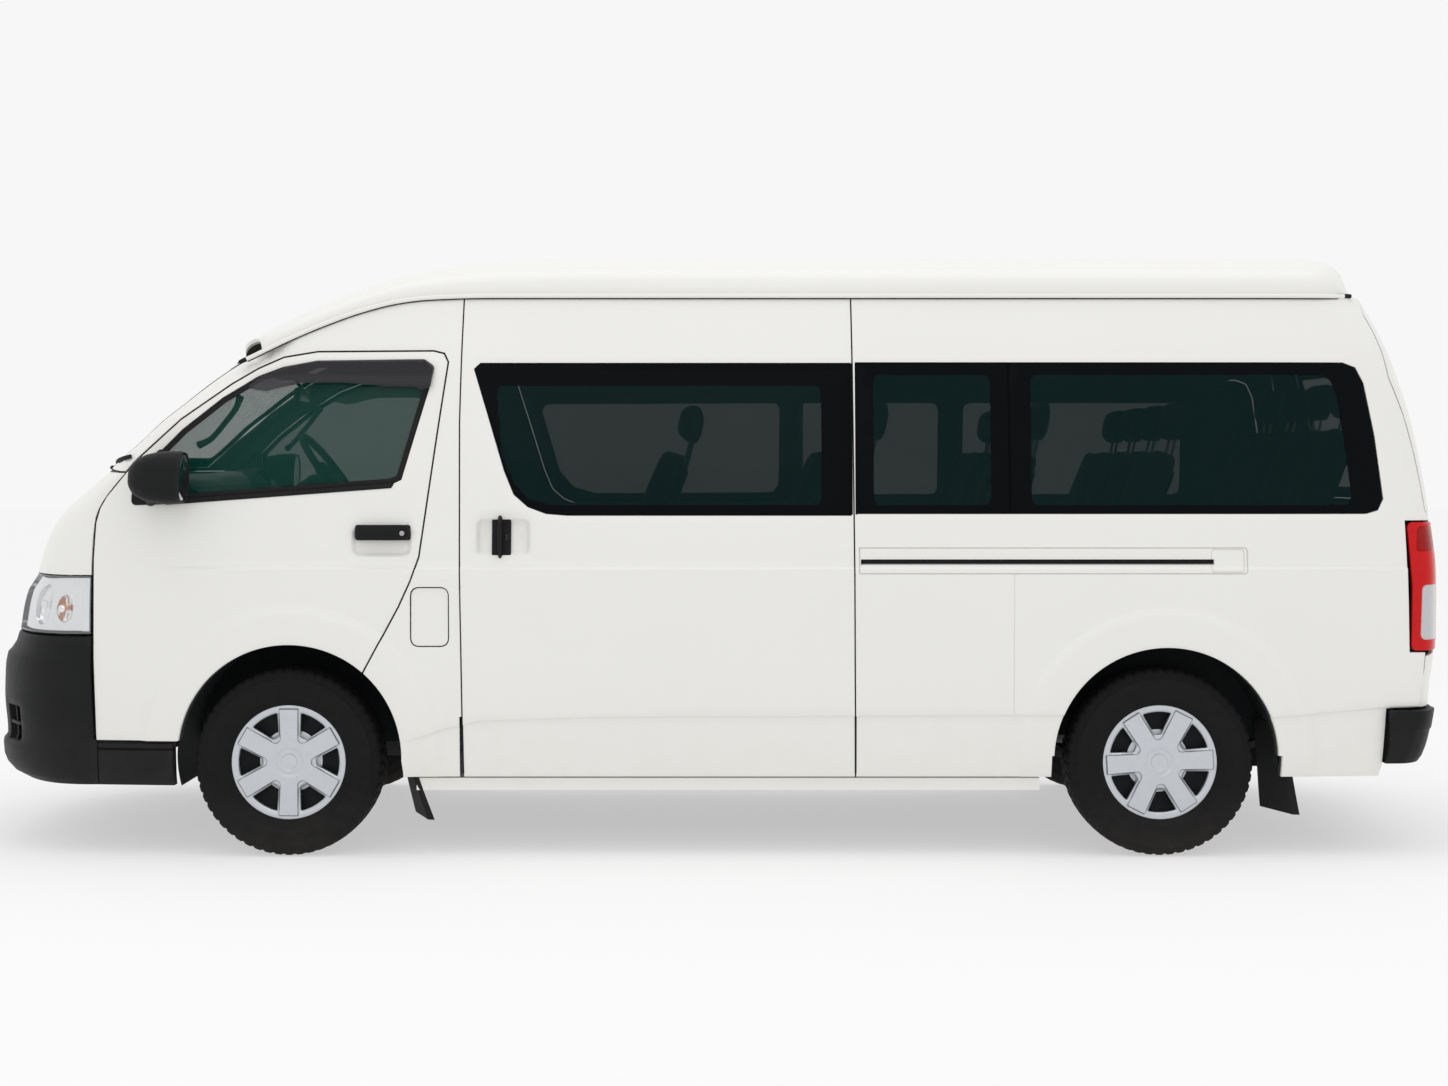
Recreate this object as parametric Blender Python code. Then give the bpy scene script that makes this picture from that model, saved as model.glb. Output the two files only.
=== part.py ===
"""High-roof minivan, modelled as separate pieces.
Frame: +Z up, ground at z = 0, the nose points along -X, the vehicle's left side faces -Y.
The origin lies on the ground, under the middle of the overall box. All sizes are in metres."""
import bpy
import math
import numpy as np
from mathutils import Vector, Matrix, geometry

for o in list(bpy.data.objects):
    bpy.data.objects.remove(o, do_unlink=True)

# ---------------------------------------------------------------- driving dimensions
AXLE_F = -1.496          # front wheel centre
AXLE_R = 1.614           # rear wheel centre: a wheelbase of 3.110
TRACK = 0.8275           # half of the 1.655 track
TYRE_R = 0.335           # rolling radius, to the flats of the tread
TYRE_W = 0.195
RIM_R = 0.196
KINGPIN_Y = 0.745
ARCH_R = 0.400           # wheel-arch opening
ARCH_F = (-1.490, 0.357)
ARCH_B = (1.634, 0.347)
GAP = 0.006              # shut line of a moving panel
PLAY = 0.0025            # shut line of a fixed one
WALL = 0.050             # a body side with its trim
GLASS = 0.006
N_TYRE = 28

# ---------------------------------------------------------------- body surface
# half width of the body side against height
WZ = [(0.20, .885), (.29, .915), (.50, .930), (1.03, .940), (1.22, .925), (1.76, .865), (2.01, .800)]
# line of the front door's leading edge, from the sill up the windscreen pillar
XE = [(0.24, -2.188), (0.41, -2.188), (0.68, -2.196), (1.0, -2.195), (1.12, -2.192), (1.20, -2.187), (1.24, -2.175),
      (1.28, -2.152), (1.34, -2.106), (1.406, -2.05), (1.461, -1.992), (1.558, -1.885), (1.626, -1.786),
      (1.685, -1.703), (1.736, -1.62), (1.779, -1.528), (1.80, -1.46)]
# depth of the nose ahead of that line, at the centre
NL = [(.20, .25), (.235, .33), (.26, .425), (.296, .480), (.336, .498), (.377, .500), (.411, .482), (.524, .488),
      (.62, .482), (.69, .474), (.72, .456), (.76, .430), (.80, .424), (.86, .414), (.93, .394), (.99, .350),
      (1.064, .324), (1.127, .300), (1.18, .272), (1.25, .222), (1.30, .192), (1.365, .165), (1.49, .150),
      (1.57, .162), (1.64, .184), (1.70, .202), (1.735, .219), (1.785, .278), (1.80, .310)]
# start of the tail's rounding, at the body side
XR = [(.30, 2.440), (.40, 2.480), (.53, 2.504), (.64, 2.514), (.79, 2.520), (.99, 2.521), (1.20, 2.503),
      (1.32, 2.488), (1.573, 2.439), (1.71, 2.399), (1.877, 2.338), (2.01, 2.268)]
TL = 0.160               # depth of the tail's rounding
# roof: gutter line and crown against x
ZG = [(-1.85, 1.70), (-1.65, 1.782), (-1.59, 1.812), (-1.505, 1.854), (-1.377, 1.910), (-1.249, 1.957),
      (-1.121, 1.990), (-1.011, 2.004), (-.788, 2.011), (2.60, 2.011)]
ZC = [(-1.80, 1.782), (-1.67, 1.872), (-1.51, 1.962), (-1.375, 2.022), (-1.19, 2.090), (-.967, 2.146),
      (-.725, 2.173), (-.40, 2.182), (2.20, 2.182), (2.30, 2.174), (2.37, 2.145), (2.42, 2.090), (2.45, 2.012)]


def tab(t, x):
    return float(np.interp(x, [a for a, b in t], [b for a, b in t]))


def side_w(x, z):
    w = tab(WZ, z)
    if x < -1.4:
        w -= .045 * ((-1.4 - x) / .8) ** 2
    if x > 1.9:
        w -= .03 * ((x - 1.9) / .55) ** 2
    return w


def nn(z):
    return tab([(1.2, 2.5), (1.5, 2.3)], z)


def nose(s, z, off=0.0):
    """Front of the body: s runs -1 (left door edge) to 0 (centre line) to 1 (right door edge)."""
    xe, n = tab(XE, z), nn(z)
    L, W = tab(NL, z) + off, side_w(tab(XE, z), z) + off
    if abs(s) > 1:                                   # past the door edge: along the body side
        x = xe + (abs(s) - 1) * 0.5
        return Vector((x, math.copysign(side_w(x, z) + off, s), z))
    t = math.sin((1 - abs(s)) * math.pi / 2)
    return Vector((xe - L * t, math.copysign(W * max(0, 1 - t ** n) ** (1 / n), s), z))


def tail(s, z, off=0.0):
    """Back of the body, in the same way."""
    xr = tab(XR, z)
    if abs(s) > 1:
        x = xr - (abs(s) - 1) * 0.5
        return Vector((x, math.copysign(side_w(x, z) + off, s), z))
    L, W = TL + off, side_w(xr, z) + off
    t = math.sin((1 - abs(s)) * math.pi / 2)
    return Vector((xr + L * t, math.copysign(W * max(0, 1 - t ** 3) ** (1 / 3), s), z))


def nose_s(y, z, off=0.0):
    n, W = nn(z), side_w(tab(XE, z), z) + off
    u = min(1, abs(y) / W)
    return math.copysign(1 - math.asin((1 - u ** n) ** (1 / n)) * 2 / math.pi, y)


def tail_s(y, z, off=0.0):
    W = side_w(tab(XR, z), z) + off
    u = min(1, abs(y) / W)
    return math.copysign(1 - math.asin((1 - u ** 3) ** (1 / 3)) * 2 / math.pi, y)


def side(q, z, off=0.0):
    """Left body side. q is x along the flat side, and runs on round the nose and the tail."""
    xe, xr = tab(XE, z), tab(XR, z)
    if q < xe:
        return nose(-max(0, 1 - (xe - q) / (tab(NL, z) * math.pi / 2)), z, off)
    if q > xr:
        return tail(-max(0, 1 - (q - xr) / (TL * math.pi / 2)), z, off)
    return Vector((q, -(side_w(q, z) + off), z))


def q_nose(y, z):
    return tab(XE, z) - (1 - abs(nose_s(y, z))) * tab(NL, z) * math.pi / 2


def roof(x, v, t=0.0):
    zg, zc = tab(ZG, x), tab(ZC, x)
    w = side_w(x, zg) - (0.055 if t else 0)
    xs = tab([(2.2, 0), (2.45, 1)], x)
    return Vector((x - xs * .165 * abs(v) ** 3, v * w, zg + max(0.0, zc - zg - t) * max(0, 1 - abs(v) ** 3.2) ** (1 / 3.2)))


# ---------------------------------------------------------------- tools
MATS = {}


def mat(name, rgb, rough=0.5, metal=0.0):
    if name not in MATS:
        m = bpy.data.materials.new(name)
        m.use_nodes = True
        b = m.node_tree.nodes["Principled BSDF"]
        b.inputs["Base Color"].default_value = (*rgb, 1)
        b.inputs["Roughness"].default_value = rough
        b.inputs["Metallic"].default_value = metal
        m.diffuse_color = (*rgb, 1)
        MATS[name] = m
    return MATS[name]


WHITE = ("white_paint", (.86, .86, .83), .25, 0)
BLACK = ("black_plastic", (.02, .021, .024), .6, 0)
GLAZ = ("tinted_glass", (.03, .06, .06), .05, 0)
LAMP = ("clear_lamp", (.75, .77, .80), .1, 0)
RED = ("red_lamp", (.6, .01, .02), .2, 0)
RUBBER = ("tyre_rubber", (.02, .02, .022), .8, 0)
SILVER = ("wheel_silver", (.62, .63, .65), .35, .6)
STEEL = ("underbody_steel", (.06, .06, .065), .6, .4)
SEAT = ("seat_cloth", (.06, .07, .08), .9, 0)
DASH = ("dash_plastic", (.07, .08, .085), .7, 0)


def obj(name, verts, faces, m, parent=None, origin=None):
    me = bpy.data.meshes.new(name)
    me.from_pydata([tuple(v) for v in verts], [], faces)
    import bmesh
    bm = bmesh.new()
    bm.from_mesh(me)
    bmesh.ops.remove_doubles(bm, verts=bm.verts, dist=1e-6)
    bmesh.ops.recalc_face_normals(bm, faces=bm.faces)
    if bm.calc_volume(signed=True) < 0:
        bmesh.ops.reverse_faces(bm, faces=bm.faces)
    bm.to_mesh(me)
    bm.free()
    me.materials.append(mat(*m))
    o = bpy.data.objects.new(name, me)
    bpy.context.scene.collection.objects.link(o)
    if origin is not None:
        me.transform(Matrix.Translation(-Vector(origin)))
        o.location = origin
    return o


def inside(p, poly):
    c, n = False, len(poly)
    for i in range(n):
        (x1, y1), (x2, y2) = poly[i], poly[(i + 1) % n]
        if (y1 > p[1]) != (y2 > p[1]) and p[0] < (x2 - x1) * (p[1] - y1) / (y2 - y1) + x1:
            c = not c
    return c


def area(poly):
    return sum(a[0] * b[1] - b[0] * a[1] for a, b in zip(poly, poly[1:] + poly[:1])) / 2


def grow(poly, d):
    """The outline moved outward by d (inward if negative), with mitred corners."""
    if area(poly) < 0:
        poly = poly[::-1]
    out = []
    for i in range(len(poly)):
        a, b, c = (Vector(poly[i - 1]), Vector(poly[i]), Vector(poly[(i + 1) % len(poly)]))
        e1, e2 = (b - a).normalized(), (c - b).normalized()
        n1, n2 = Vector((e1.y, -e1.x)), Vector((e2.y, -e2.x))
        k = (n1 + n2).normalized()
        out.append(tuple(b + k * d / max(.35, k.dot(n1))))
    return out


def rounded(poly, r, seg=3):
    """poly with each corner rounded; r is one radius or one for each corner."""
    rs = r if isinstance(r, (list, tuple)) else [r] * len(poly)
    out = []
    for i, rad in enumerate(rs):
        a, b, c = (Vector(poly[i - 1]), Vector(poly[i]), Vector(poly[(i + 1) % len(poly)]))
        if rad <= 0:
            out.append(tuple(b))
            continue
        u, v = (a - b).normalized(), (c - b).normalized()
        half = math.acos(max(-1, min(1, u.dot(v)))) / 2
        d = min(rad / math.tan(half), .49 * (a - b).length, .49 * (c - b).length)
        p, q = b + u * d, b + v * d
        for k in range(seg + 1):
            t = k / seg
            out.append(tuple((1 - t) ** 2 * p + 2 * t * (1 - t) * b + t * t * q))
    return out


def circle(c, r, seg=20, a0=0.0):
    return [(c[0] + r * math.cos(a0 + 2 * math.pi * k / seg), c[1] + r * math.sin(a0 + 2 * math.pi * k / seg)) for k in range(seg)]


def plate(name, m, include, exclude, outer, inner, us=(), vs=(), mirror=False, solid=True):
    """A shell panel: the region of include less exclude, in (u, v), cut along the lines us and vs, between two surfaces."""
    polys = list(include) + list(exclude)
    pts, edges = [], []
    for p in polys:
        k = len(pts)
        pts += [Vector(a) for a in p]
        edges += [(k + i, k + (i + 1) % len(p)) for i in range(len(p))]
    lo = (min(p.x for p in pts) - .1, min(p.y for p in pts) - .1)
    hi = (max(p.x for p in pts) + .1, max(p.y for p in pts) + .1)
    for u in us:
        if lo[0] < u < hi[0]:
            pts += [Vector((u, lo[1])), Vector((u, hi[1]))]
            edges.append((len(pts) - 2, len(pts) - 1))
    for v in vs:
        if lo[1] < v < hi[1]:
            pts += [Vector((lo[0], v)), Vector((hi[0], v))]
            edges.append((len(pts) - 2, len(pts) - 1))
    P, E, F, *_ = geometry.delaunay_2d_cdt(pts, edges, [], 0, 1e-5)
    keep = []
    for f in F:
        c = sum((P[i] for i in f), Vector((0, 0))) / len(f)
        a = abs(area([tuple(P[i]) for i in f]))
        if a > 1e-9 and any(inside(c, p) for p in include) and not any(inside(c, p) for p in exclude):
            keep.append(tuple(f))
    used = sorted({i for f in keep for i in f})
    at = {i: k for k, i in enumerate(used)}
    n = len(used)
    verts = [outer(*P[i]) for i in used] + [inner(*P[i]) for i in used]
    faces, count = [], {}
    for f in keep:
        g = [at[i] for i in f]
        faces.append(tuple(g))
        faces.append(tuple(n + i for i in reversed(g)))
        for i in range(len(g)):
            count[(g[i], g[(i + 1) % len(g)])] = 1
    for (a, b) in count:
        if (b, a) not in count:
            faces.append((a, n + a, n + b))
            faces.append((a, n + b, b))
    if mirror:
        verts = [Vector((v[0], -v[1], v[2])) for v in verts]
    return obj(name, verts, faces, m)


def turned(name, m, profile, centre, segs, phase=0.0):
    """A closed profile of (radius, y) turned about the Y axis through centre."""
    k = len(profile)
    verts = [(centre[0] + r * math.cos(phase + 2 * math.pi * i / segs), centre[1] + y, centre[2] + r * math.sin(phase + 2 * math.pi * i / segs))
             for i in range(segs) for r, y in profile]
    faces = []
    for i in range(segs):
        for j in range(k):
            a, b = i * k + j, i * k + (j + 1) % k
            c, d = ((i + 1) % segs) * k + (j + 1) % k, ((i + 1) % segs) * k + j
            faces.append((a, b, c, d))
    return obj(name, verts, faces, m, origin=centre)


def prism(name, m, poly, y0, y1, plane="xz"):
    """poly extruded between two coordinates of the third axis."""
    put = {"xz": lambda u, v, w: (u, w, v), "yz": lambda u, v, w: (w, u, v), "xy": lambda u, v, w: (u, v, w)}[plane]
    n = len(poly)
    verts = [put(u, v, y0) for u, v in poly] + [put(u, v, y1) for u, v in poly]
    faces = [tuple(range(n)), tuple(reversed(range(n, 2 * n)))] + [(i, (i + 1) % n, n + (i + 1) % n, n + i) for i in range(n)]
    return obj(name, verts, faces, m)


def box(name, m, lo, hi):
    return prism(name, m, [(lo[0], lo[2]), (hi[0], lo[2]), (hi[0], hi[2]), (lo[0], hi[2])], lo[1], hi[1])


def rod(name, m, a, b, r, segs=8):
    """A round bar from a to b."""
    a, b = Vector(a), Vector(b)
    z = (b - a).normalized()
    x = z.orthogonal().normalized()
    y = z.cross(x)
    verts = [p + (x * math.cos(2 * math.pi * i / segs) + y * math.sin(2 * math.pi * i / segs)) * r for p in (a, b) for i in range(segs)]
    faces = [tuple(range(segs)), tuple(range(segs, 2 * segs))] + [(i, (i + 1) % segs, segs + (i + 1) % segs, segs + i) for i in range(segs)]
    return obj(name, verts, faces, m)


def join(base, others, op="UNION"):
    """Boolean of base with each of the others, applied in turn."""
    for o in others:
        mod = base.modifiers.new("b", "BOOLEAN")
        mod.operation, mod.solver, mod.object = op, "EXACT", o
        dg = bpy.context.evaluated_depsgraph_get()
        me = bpy.data.meshes.new_from_object(base.evaluated_get(dg))
        base.modifiers.clear()
        base.data = me
        bpy.data.objects.remove(o, do_unlink=True)
    return base


def loft(name, m, rings, caps=True):
    """A closed body through rings of points."""
    k = len(rings[0])
    verts = [p for r in rings for p in r]
    faces = [(i * k + j, i * k + (j + 1) % k, (i + 1) * k + (j + 1) % k, (i + 1) * k + j) for i in range(len(rings) - 1) for j in range(k)]
    if caps:
        faces += [tuple(range(k)), tuple(range((len(rings) - 1) * k, len(rings) * k))]
    return obj(name, verts, faces, m)


# ---------------------------------------------------------------- outlines on the body side (x, z)
DOOR_F = [(-2.188, .412), (-2.196, .70), (-2.194, 1.06), (-2.188, 1.19), (-2.174, 1.242), (-2.150, 1.284), (-2.050, 1.406),
          (-1.885, 1.558), (-1.703, 1.685), (-1.610, 1.740), (-1.520, 1.780), (-1.400, 1.800), (-.985, 1.803),
          (-.948, 1.794), (-.934, 1.765), (-.968, 1.523), (-1.030, 1.070), (-1.060, .985), (-1.101, .895),
          (-1.228, .660), (-1.45, .5), (-1.893, .412)]
DOOR_GLASS = [(-1.948, 1.268), (-1.126, 1.330), (-1.094, 1.345), (-1.000, 1.669), (-.990, 1.742), (-1.016, 1.766),
              (-1.40, 1.763), (-1.52, 1.746), (-1.61, 1.712), (-1.736, 1.636), (-1.88, 1.522), (-1.955, 1.446)]
SLIDING = [(-.869, .284), (.525, .284), (.519, 1.20), (.513, 1.998), (-.878, 1.998), (-.885, 1.55), (-.880, 1.06)]
SLIDE_GLASS = [(-.836, 1.740), (-.785, 1.575), (-.725, 1.376), (-.690, 1.292), (-.640, 1.248), (-.575, 1.224),
               (-.500, 1.218), (.510, 1.218), (.510, 1.760), (-.815, 1.760)]
SIDE_GLASS = [(.530, 1.224), (2.350, 1.224), (2.392, 1.236), (2.412, 1.275), (2.386, 1.500), (2.352, 1.690),
              (2.325, 1.745), (2.280, 1.762), (.530, 1.762)]
FLAP = rounded([(-1.054, .753), (-.923, .753), (-.923, .959), (-1.054, .959)], .03)


def w(p, q):
    """The in and out surfaces of a left-side wall: p outward offset of the skin, q its thickness."""
    return (lambda u, v: side(u, v, p)), (lambda u, v: side(u, v, p - q))


def wn(p, q):
    return (lambda u, v: nose(u, v, p)), (lambda u, v: nose(u, v, p - q))


def wt(p, q):
    return (lambda u, v: tail(u, v, p)), (lambda u, v: tail(u, v, p - q))


def zg_line(n):
    """Top edge of the body side, along the gutter, from the tail to the windscreen's top corner."""
    xs = [2.262, 1.9, 0, -.788, -1.011, -1.121, -1.249, -1.377, -1.505, -1.59][:n]
    return [(x, tab(ZG, x) - .004) for x in xs]


TAIL_Q = TL * math.pi / 2
GATE_KEY = [(.53, .888), (.712, .888), (.728, .775), (1.195, .775), (1.235, .855), (1.71, .838), (1.940, .780), (2.000, .720)]   # (z, half width)
GATE_EDGE = [(z, tab(GATE_KEY, z)) for z in (.53, .64, .712, .728, .79, .99, 1.195, 1.235, 1.32, 1.45, 1.573, 1.71, 1.80, 1.877, 1.94, 1.97, 2.0)]
FUSE = .585               # y of the hood's edge


def gate_q(z, y):
    """q on the body side of a point of the tail at half width y."""
    return tab(XR, z) + (1 - abs(tail_s(y, z))) * TAIL_Q


# body side: sill, tail edge, gutter, windscreen pillar, door
screen = [(1.785, .775), (1.735, .765), (1.62, .755), (1.50, .75), (1.385, .75)]        # (z, half width) of the windscreen's edge
BODY_SIDE = ([(-1.20, .284), (2.40, .284), (2.412, .325), (2.425, .526)]
             + [(gate_q(z, y) - GAP, z) for z, y in GATE_EDGE if z < .72]
             + [(gate_q(.727, .888) - GAP, .727), (tab(XR, .727) + .01, .727), (tab(XR, 1.198) + .01, 1.198), (gate_q(1.20, .82), 1.198)]
             + [(gate_q(z, y) - GAP * .7, z) for z, y in GATE_EDGE if z > 1.2]
             + [(gate_q(2.0, .72) - GAP * .7, 2.005)] + zg_line(10)
             + [(q_nose(y, z), z) for z, y in screen]
             + [(tab(XE, 1.37) - .02, 1.374), (tab(XE, 1.37) + .05, 1.374), (-1.30, .90)])
OPEN_F = grow(DOOR_F, GAP)
OPEN_S = grow(SLIDING, PLAY * 2)
LAMP_HOLE = [(tab(XR, .73) - .012, .727), (tab(XR, .73) + .5, .727), (tab(XR, 1.198) + .5, 1.198), (tab(XR, 1.198) - .012, 1.198)]
arch_f, arch_b = circle(ARCH_F, ARCH_R, 24), circle(ARCH_B, ARCH_R, 24)
below_f = [(-2.5, .0), (-1.085, .0), (-1.085, .30), (-1.10, .42), (-1.49, .5), (-2.5, .405)]
below_b = [(1.222, .0), (2.046, .0), (2.046, .36), (1.226, .36)]
US = [-1.9, -1.49, -1.15, -.95, .52, 1.1, 1.634, 2.05, 2.2, 2.30, 2.42, 2.46, 2.50, 2.56, 2.62]
VS = [.50, .78, 1.03, 1.22, 1.50, 1.76, 1.90]

for L, mir in (("left", False), ("right", True)):
    door_hole = OPEN_F
    cut = [OPEN_F, arch_f, arch_b, below_f, below_b, grow(SIDE_GLASS, PLAY), LAMP_HOLE]
    if mir:
        cut += [grow(SLIDE_GLASS, PLAY)]
    else:
        cut += [OPEN_S, [(-.884, .1), (.53, .1), (.53, .5), (-.884, .5)], grow(FLAP, GAP)]
    plate("side_panel_" + L, WHITE, [BODY_SIDE], cut, *w(0, WALL), US, VS, mirror=mir)
    plate("side_glass_" + L, GLAZ, [SIDE_GLASS] if not mir else [SIDE_GLASS], [], *w(-.002, GLASS), [2.05, 2.2, 2.30], [1.5], mirror=mir)
    plate("front_door_" + L, WHITE, [DOOR_F], [arch_f, below_f, grow(DOOR_GLASS, PLAY)], *w(0, WALL), US[:4], VS[:-1], mirror=mir)
    plate("front_door_glass_" + L, GLAZ, [DOOR_GLASS], [], *w(-.010, GLASS), US[:3], [1.5], mirror=mir)
    plate("tail_light_" + L, RED, [[(tab(XR, .735) - .006, .733), (gate_q(.735, .786), .733), (gate_q(1.19, .786), 1.192), (tab(XR, 1.19) - .006, 1.192)]],
          [], *w(.004, .05), [2.55, 2.60, 2.64], [.96], mirror=mir)
plate("fuel_flap", WHITE, [FLAP], [], *w(0, .008))
plate("sliding_door", WHITE, [SLIDING], [grow(SLIDE_GLASS, PLAY)], *w(0, WALL), [], VS)
plate("sliding_door_glass", GLAZ, [SLIDE_GLASS], [], *w(-.002, GLASS), [], [1.5])
plate("side_window_right", GLAZ, [SLIDE_GLASS], [], *w(-.002, GLASS), [], [1.5], mirror=True)


def strip(zy, z_list, s_of, inset=0.0):
    """A closed outline in (s, z) symmetric about the centre line, from half widths against height."""
    left = [(-abs(s_of(tab(zy, z) - inset, z)), z) for z in z_list]
    return left + [(-s, z) for s, z in reversed(left)]


# ---------------------------------------------------------------- front of the body
SN = [-.98, -.9, -.75, -.55, -.38, -.2, 0, .2, .38, .55, .75, .9, .98]
HOOD_W = [(1.020, FUSE), (1.345, FUSE - .03)]
hood_outline = strip(HOOD_W, [1.020, 1.12, 1.20, 1.28, 1.345], nose_s)
body_front = [(-.985, 1.003), (-.985, 1.12), (-.985, 1.24), (-.985, 1.368)]
body_front = body_front + [(-s, z) for s, z in reversed(body_front)]
under_hood = strip([(.962, .512), (1.010, .512)], [.962, 1.010], nose_s)
plate("front_body", WHITE, [body_front, under_hood], [strip(HOOD_W, [1.014, 1.12, 1.20, 1.28, 1.351], nose_s, -GAP)],
      *wn(0, .045), SN, [1.03, 1.12, 1.20, 1.28])
plate("hood", WHITE, [hood_outline], [], *wn(0, .02), SN, [1.12, 1.20, 1.28])
plate("grille", BLACK, [strip([(.80, .515), (.955, .515)], [.80, .955], nose_s)], [], *wn(-.008, .035), SN, [])
for L, sg in (("left", -1), ("right", 1)):
    zz = [.792, .86, .93, 1.000]
    outline = [(sg * .985, z) for z in zz] + [(nose_s(sg * .522, z), z) for z in reversed(zz)]
    plate("headlight_" + L, LAMP, [outline], [], *wn(-.002, .06), SN, [.86, .93])
SCREEN = [(z, y - .004) for z, y in reversed(screen)]
plate("windscreen", GLAZ, [strip(SCREEN, [1.385, 1.50, 1.62, 1.735, 1.785], nose_s)], [], *wn(-.003, .009), SN, [1.50, 1.62, 1.735])
# front bumper with the step covers under the doors
fb = [(-1.56, .250), (-1.56, .402), (-1 - .012, .402), (-.988, .42), (-.988, .785)]
bump = [(s, z) for s, z in fb] + [(-s, z) for s, z in reversed(fb)]
BVS = [.258, .30, .377, .411, .62, .72]
plate("front_bumper", BLACK, [[(-1.56, .250), (-1.56, .402), (-1.012, .402), (-.988, .42), (-.988, .785), (.988, .785), (.988, .42), (1.012, .402), (1.56, .402), (1.56, .250)]],
      [], *wn(.006, .045), SN + [-1.2, 1.2], BVS)

# ---------------------------------------------------------------- back of the body
ST = [-.95, -.8, -.65, -.5, -.3, 0, .3, .5, .65, .8, .95]
gate = [(-abs(tail_s(y, z)), z) for z, y in GATE_EDGE]
gate = gate + [(-s, z) for s, z in reversed(gate)]
GATE_GLASS = rounded([(-abs(tail_s(.70, 1.26)), 1.26), (-abs(tail_s(.66, 1.80)), 1.80), (abs(tail_s(.66, 1.80)), 1.80), (abs(tail_s(.70, 1.26)), 1.26)], .06)
plate("tailgate", WHITE, [gate], [grow(GATE_GLASS, PLAY)], *wt(0, .045), ST, [.64, .99, 1.20, 1.50, 1.71, 1.877])
plate("tailgate_glass", GLAZ, [GATE_GLASS], [], *wt(-.003, GLASS), ST, [1.50, 1.71])
plate("rear_bumper", BLACK, [[(-1.064, .330), (-1.104, .42), (-1.142, .520), (1.142, .520), (1.104, .42), (1.064, .330)]], [], *wt(.0235, .06), ST + [-1.02, 1.02], [.42])

# ---------------------------------------------------------------- roof
front_edge = [(min(nose(nose_s(v * .835, 1.785), 1.785, -.012).x + .007, -1.60), v)
              for v in (-1, -.95, -.88, -.75, -.6, -.4, -.2, 0, .2, .4, .6, .75, .88, .95, 1)]
rear_edge = [(2.445, 1), (2.445, -1)]
plate("roof", WHITE, [front_edge + rear_edge], [], lambda x, v: roof(x, v), lambda x, v: roof(x, v, .03),
      [-1.59, -1.505, -1.377, -1.249, -1.121, -1.011, -.788, 2.2, 2.30, 2.37, 2.42], [-.97, -.88, -.7, -.4, 0, .4, .7, .88, .97])

# ---------------------------------------------------------------- floor, seat platform and wheel housings
prof = [(-2.235, .50), (-1.93, .50), (-1.93, .845), (-1.02, .845), (-1.02, .58), (2.455, .58), (2.455, .54),
        (-1.06, .54), (-1.06, .805), (-1.89, .805), (-1.89, .46), (-2.235, .46)]
floor = prism("floor", DASH, prof, -.862, .862)
parts, cuts = [], []
for sg in (-1, 1):
    a, b = sorted((sg * .48, sg * .50))
    parts.append(box("t", STEEL, (-1.91, a, .36), (-1.04, b, .83)))
    a, b = sorted((sg * .80, sg * 1.0))
    cuts.append(box("t", STEEL, (-2.4, a, .30), (-1.875, b, .62)))
    a, b = sorted((sg * .828, sg * 1.0))
    cuts.append(box("t", STEEL, (-1.94, a, .60), (-.99, b, .95)))
    cuts.append(box("t", STEEL, (2.28, a, .30), (2.6, b, .70)))
    a, b = sorted((sg * .6147, sg * 1.0))
    cuts.append(box("t", STEEL, (1.1897, a, .30), (2.0703, b, .90)))
join(floor, parts)
join(floor, cuts, "DIFFERENCE")
for L, sg in (("left", -1), ("right", 1)):
    a, b = sorted((sg * .615, sg * .862))
    house = box("wheelhouse_" + L, STEEL, (1.19, a, .40), (2.07, b, .80))
    a, b = sorted((sg * .635, sg * 1.0))
    join(house, [box("t", STEEL, (1.21, a, .20), (2.05, b, .78))], "DIFFERENCE")
    # sill under the doors, with the splash wall behind the front wheel
    a, b = sorted((sg * .80, sg * .895))
    sill = box("sill_" + L, STEEL, (-1.04, a, .235), (1.185, b, .279))
    a, b = sorted((sg * .80, sg * .84))
    web = box("t", STEEL, (-1.04, a, .24), (1.185, b, .5397))
    a, b = sorted((sg * .505, sg * .862))
    join(sill, [web, box("t", STEEL, (-1.05, a, .285), (-.99, b, .5397))])
# ladder frame: two rails and five cross members
frame = box("chassis_frame", STEEL, (-2.25, -.46, .40), (2.45, -.40, .455))
parts = [box("t", STEEL, (-2.25, .40, .40), (2.45, .46, .455))]
for x in (-2.20, -.62, .55, 2.30):
    parts.append(box("t", STEEL, (x - .03, -.43, .405), (x + .03, .43, .45)))
join(frame, parts)
fw = [(-.80, .459), (.80, .459), (.80, 1.10), (.50, 1.30), (-.50, 1.30), (-.80, 1.10)]
prism("firewall", DASH, fw, -2.262, -2.240, "yz")

# ---------------------------------------------------------------- running gear
box("engine", STEEL, (-1.76, -.29, .28), (-1.09, .29, .77))
cross = box("front_suspension", STEEL, (-1.56, -.30, .235), (-1.44, .30, .262))
parts = []
for sg in (-1, 1):
    parts.append(prism("t", STEEL, [(-1.62, sg * .28), (-1.37, sg * .28), (-1.46, sg * .70), (-1.53, sg * .70)], .205, .24, "xy"))
    parts.append(box("t", STEEL, (-1.53, min(sg * .31, sg * .35) - 0, .21), (-1.47, max(sg * .31, sg * .35), .43)))
join(cross, parts)
for L, sg in (("left", -1), ("right", 1)):
    y0, y1 = sorted((sg * (KINGPIN_Y - .022), sg * (KINGPIN_Y + .02)))
    kn = box("knuckle_" + L, STEEL, (AXLE_F - .035, y0, .245), (AXLE_F + .035, y1, .44))
    ax = rod("t", STEEL, (AXLE_F, sg * (KINGPIN_Y), TYRE_R), (AXLE_F, sg * .855, TYRE_R), .045, 12)
    arm = box("t", STEEL, (AXLE_F + .03, min(sg * .715, sg * .745), .27), (AXLE_F + .13, max(sg * .715, sg * .745), .30))
    join(kn, [ax, arm])
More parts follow.
